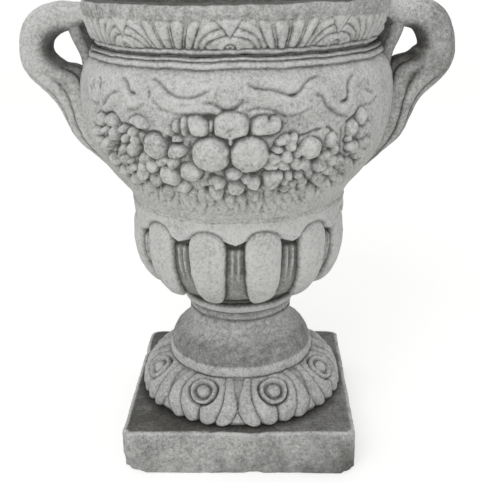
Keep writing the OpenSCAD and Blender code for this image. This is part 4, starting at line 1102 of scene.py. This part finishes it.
def makeHandle(name, node, side):
    stations = len(handleSet["outer"])
    outer = drawnLine(handleSet["outer"], 12 * stations, 7)
    inner = drawnLine(handleSet["inner"], 12 * stations, 7)
    if side > 0:   # the right-hand opening is a little narrower
        place = np.linspace(0, stations, len(inner))
        inner[:, 0] -= handleSet["rightSnug"][0] * smooth(2, 4.5, place) * (1 - smooth(7, 9.5, place))
        inner[:, 1] += handleSet["rightSnug"][1] * smooth(5.5, 8, place) * (1 - smooth(10.5, 13, place))
    route = (outer + inner) / 2
    run = np.concatenate([[0], np.cumsum(np.hypot(*np.diff(route, axis=0).T))])
    at = np.linspace(0, run[-1], int(run[-1] / handleSet["step"]))
    route = np.stack([np.interp(at, run, route[:, k]) for k in (0, 1)], 1)
    half = np.stack([np.interp(at, run, (outer - inner)[:, k] / 2) for k in (0, 1)], 1)
    t = np.interp(at, run, np.linspace(0, stations - 1, len(run)))
    thick = np.linalg.norm(half, axis=1)
    ending = dome(np.clip((t - stations + 1.6) / 0.6, 0, 1)) * 0.85 + 0.15
    wide = np.interp(t, *handleSet["widthAt"])
    points, a = sweep(route, half / thick[:, None], wide * ending, thick * ending, handleSet["around"])
    twist = a / (2 * math.pi) * handleSet["strands"] + 0.25 + at[None, :] / handleSet["strandPitch"]
    phase = np.abs((twist % 1.0) - 0.5) * 2
    start = handleSet["plaitFrom"]
    plait = (smooth(start, start + 3, t) * (1 - smooth(stations - 2, stations - 1, t)))[None, :]
    cut = handleSet["strandDepth"] * plait * (1 - dome(1 - phase))
    flute = 1.1 * (1 - plait) * hump(np.abs(np.cos(a)) - 0.74, 0.07) * (np.sin(a) > 0)
    normal = gridNormals(points)
    sense = 1 if np.sum(normal[1:-1] * (points - points.mean(0, keepdims=True))[1:-1]) > 0 else -1
    points = points - sense * normal * (cut + flute)[..., None]
    depth = creases(points if sense > 0 else points[::-1], handleSet["step"])
    depth = depth if sense > 0 else depth[::-1]
    # painted shade on the faces turned into the opening and in the creases
    within = smooth(0.15, 0.8, -np.sin(a)) * smooth(0.6, 2, t) * (1 - smooth(12, 14, t))
    grimeAndShade = 0.15 + 0.45 * np.clip(depth, -0.3, 1.3) + within * (0.3 + 0.16 * (1 - smooth(7, 9, t)))
    tailCornerShade = smooth(7, 9, t) * (1 - smooth(12.5, 15, t))   # painted shade in the corner between the tail and the body
    grimeAndShade += 0.3 * smooth(-0.1, 0.5, -np.sin(a)) * tailCornerShade[None, :]
    # painted shade down the grooves between the strands
    grimeAndShade += 0.3 * plait * (1 - phase) ** 4
    if side > 0:   # painted shade: this handle, on the side away from the light, is darker all round, most on its outer face
        grimeAndShade += handleSet["shadedSide"] * smooth(1, 4, t)[None, :] * (1 + 0.5 * np.sin(a)) * (1 - 0.5 * plait)
    closedTube(name + "Strap", node, points, grimeAndShade, side)
    for fork, part in ((-1, "SpurFront"), (0, "SpurWeb"), (1, "SpurBack")):
        line = drawnLine(handleSet["spur"], 110, 7)
        along = np.gradient(line, axis=0)
        along /= np.linalg.norm(along, axis=1)[:, None]
        out = np.stack([-along[:, 1], along[:, 0]], 1)
        u = np.linspace(0, 1, len(line))
        stops = np.linspace(0, 1, len(handleSet["spurThick"]))
        tip = dome(np.clip((u - 0.93) / 0.07, 0, 1)) * 0.9 + 0.1
        thin = np.interp(u, stops, handleSet["spurThick"]) * tip
        if fork == 0:
            line = line - (handleSet["webBack"], 0)
            thin = thin * handleSet["webThick"]
        strand = sweep(line, out, thin * 0.95, thin, 28, 1.0)[0]
        strand[..., 1] += fork * np.interp(u, stops, handleSet["spurSplay"])[None, :]
        # painted shade: the web between the forks is dark, and the strands are darker near the middle between
        # the forks
        shade = np.full(strand.shape[:2], 0.72 if fork == 0 else 0.28)
        shade += 0.3 * (1 - smooth(2, 8, np.abs(strand[..., 1])))
        closedTube(name + part, node, strand, shade, side, 0.6)


makeHandle("leftHandle", "left_handle", -1)
makeHandle("rightHandle", "right_handle", 1)
print("handles ready")


# Waist joint: its mortar is struck flush and rubbed over, so only a faint line shows

waistSet = {"outerR": 142.3, "wall": 22.5, "cols": 300, "smear": 3.6}


def makeWaistJoint():
    low, high = nodeBox("waist_bed")
    inner, outer, smear = waistSet["outerR"] - waistSet["wall"], waistSet["outerR"], waistSet["smear"]
    angles = np.arange(waistSet["cols"]) * 360 / waistSet["cols"]
    base, top = low[2], high[2]
    outline = np.array([(outer - 3, base - smear), (outer - 0.7, base - 1.6), (outer, base), (outer, top),
                        (outer - 0.5, top + 1.6), (outer - 3, top + smear)])
    points = turned(outline, angles, np.zeros((len(outline), 1)), [(inner, top), (inner, base)])
    grimeAndShade = np.full(points.shape[:2], 0.16) + 0.08 * waves(points, 30, 8)
    piece = gridMesh("waistJoint", points, wrap=True, fields={"grimeAndShade": grimeAndShade})
    castInStone(piece, "waist_bed", slot="mortar")


makeWaistJoint()
print("waist joint ready")


# Hidden metalwork and the other mortar beds keep their own shapes

for name, look in (("plinth_bed", beddingMortar), ("foot_bed", beddingMortar), ("neck_bed", beddingMortar),
                   ("rim_bed", beddingMortar), ("rim_hoop", galvanised),
                   ("handle_dowels", galvanised), ("drain_tube", galvanised), ("tube_washers", galvanised),
                   ("tube_nuts", galvanised)):
    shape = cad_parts[name]
    for k in range(len(shape.material_slots)):
        shape.material_slots[k].material = look


# Studio

cameraSet = {
    "place": (0.03828, -1.05741, 0.64823), "lens": 60.163, "sensor": 36,
    "right": (0.99950516, 0.02777527, -0.01476395), "up": (0.00456616, 0.33627395, 0.94175314),
    "forward": (-0.03112218, 0.94135454, -0.33598072),
}


def setCamera():
    lens = bpy.data.cameras.new("photoView")
    lens.lens = cameraSet["lens"]
    lens.sensor_width = cameraSet["sensor"]
    lens.clip_start = 0.05
    holder = bpy.data.objects.new("photoView", lens)
    bpy.context.scene.collection.objects.link(holder)
    axes = (Vector(cameraSet["right"]), Vector(cameraSet["up"]), -Vector(cameraSet["forward"]))
    holder.matrix_world = Matrix.Translation(cameraSet["place"]) @ Matrix(axes).transposed().to_4x4()
    bpy.context.scene.camera = holder


def addLamp(name, place, target, size, power):
    data = bpy.data.lights.new(name, "AREA")
    data.shape = "DISK"
    data.size = size
    data.energy = power
    lamp = bpy.data.objects.new(name, data)
    bpy.context.scene.collection.objects.link(lamp)
    lamp.location = place
    lamp.rotation_euler = (Vector(target) - Vector(place)).to_track_quat("-Z", "Y").to_euler()


def seenDirectly(tree):  # 1 where the backdrop itself is looked at, and 0 where it only lights the stone
    path = addNode(tree, "ShaderNodeLightPath")
    seen = addNode(tree, "ShaderNodeMath", {
        0: path.outputs["Is Camera Ray"], 1: path.outputs["Is Glossy Ray"]}, operation="MAXIMUM")
    seen = addNode(tree, "ShaderNodeMath", {
        0: seen.outputs[0], 1: path.outputs["Is Transmission Ray"]}, operation="MAXIMUM")
    return seen.outputs[0]


studioSet = {"sky": 0.62, "floorHalf": 4.0, "floorPaint": "#F4F4F2", "floorGlow": 0.4}
softFront = {"place": (-0.5, -1.6, 1.9), "target": (0, 0, 0.35), "size": 1.4, "power": 13}


def setFloor():
    mesh = bpy.data.meshes.new("floor")
    half = studioSet["floorHalf"]
    corners = [(-half, -half, 0), (half, -half, 0), (half, half, 0), (-half, half, 0)]
    mesh.from_pydata(corners, [], [(0, 1, 2, 3)])
    floor = bpy.data.objects.new("floor", mesh)
    bpy.context.scene.collection.objects.link(floor)
    paint = bpy.data.materials.new("paleFloorPaint")
    paint.use_nodes = True
    tree = paint.node_tree
    coat = tree.nodes["Principled BSDF"]
    coat.inputs["Base Color"].default_value = hexColour(studioSet["floorPaint"])
    coat.inputs["Roughness"].default_value = 0.8
    glow = addNode(tree, "ShaderNodeMapRange", {
        "Value": seenDirectly(tree), "To Min": 0.0, "To Max": studioSet["floorGlow"]})
    tree.links.new(glow.outputs[0], coat.inputs["Emission Strength"])
    coat.inputs["Emission Color"].default_value = (1, 1, 1, 1)
    mesh.materials.append(paint)


def setWorld(strength):
    world = bpy.data.worlds.new("studio")
    world.use_nodes = True
    tree = world.node_tree
    tree.nodes.clear()
    lit = addNode(tree, "ShaderNodeMapRange", {
        "Value": seenDirectly(tree), "To Min": strength, "To Max": 1.0})
    sky = addNode(tree, "ShaderNodeBackground", {"Color": (1, 1, 1, 1), "Strength": lit.outputs[0]})
    addNode(tree, "ShaderNodeOutputWorld", {"Surface": sky.outputs[0]})
    bpy.context.scene.world = world


bpy.context.scene.view_settings.view_transform = "Standard"
setCamera()
setFloor()
setWorld(studioSet["sky"])
addLamp("softFront", **softFront)
print("studio ready")
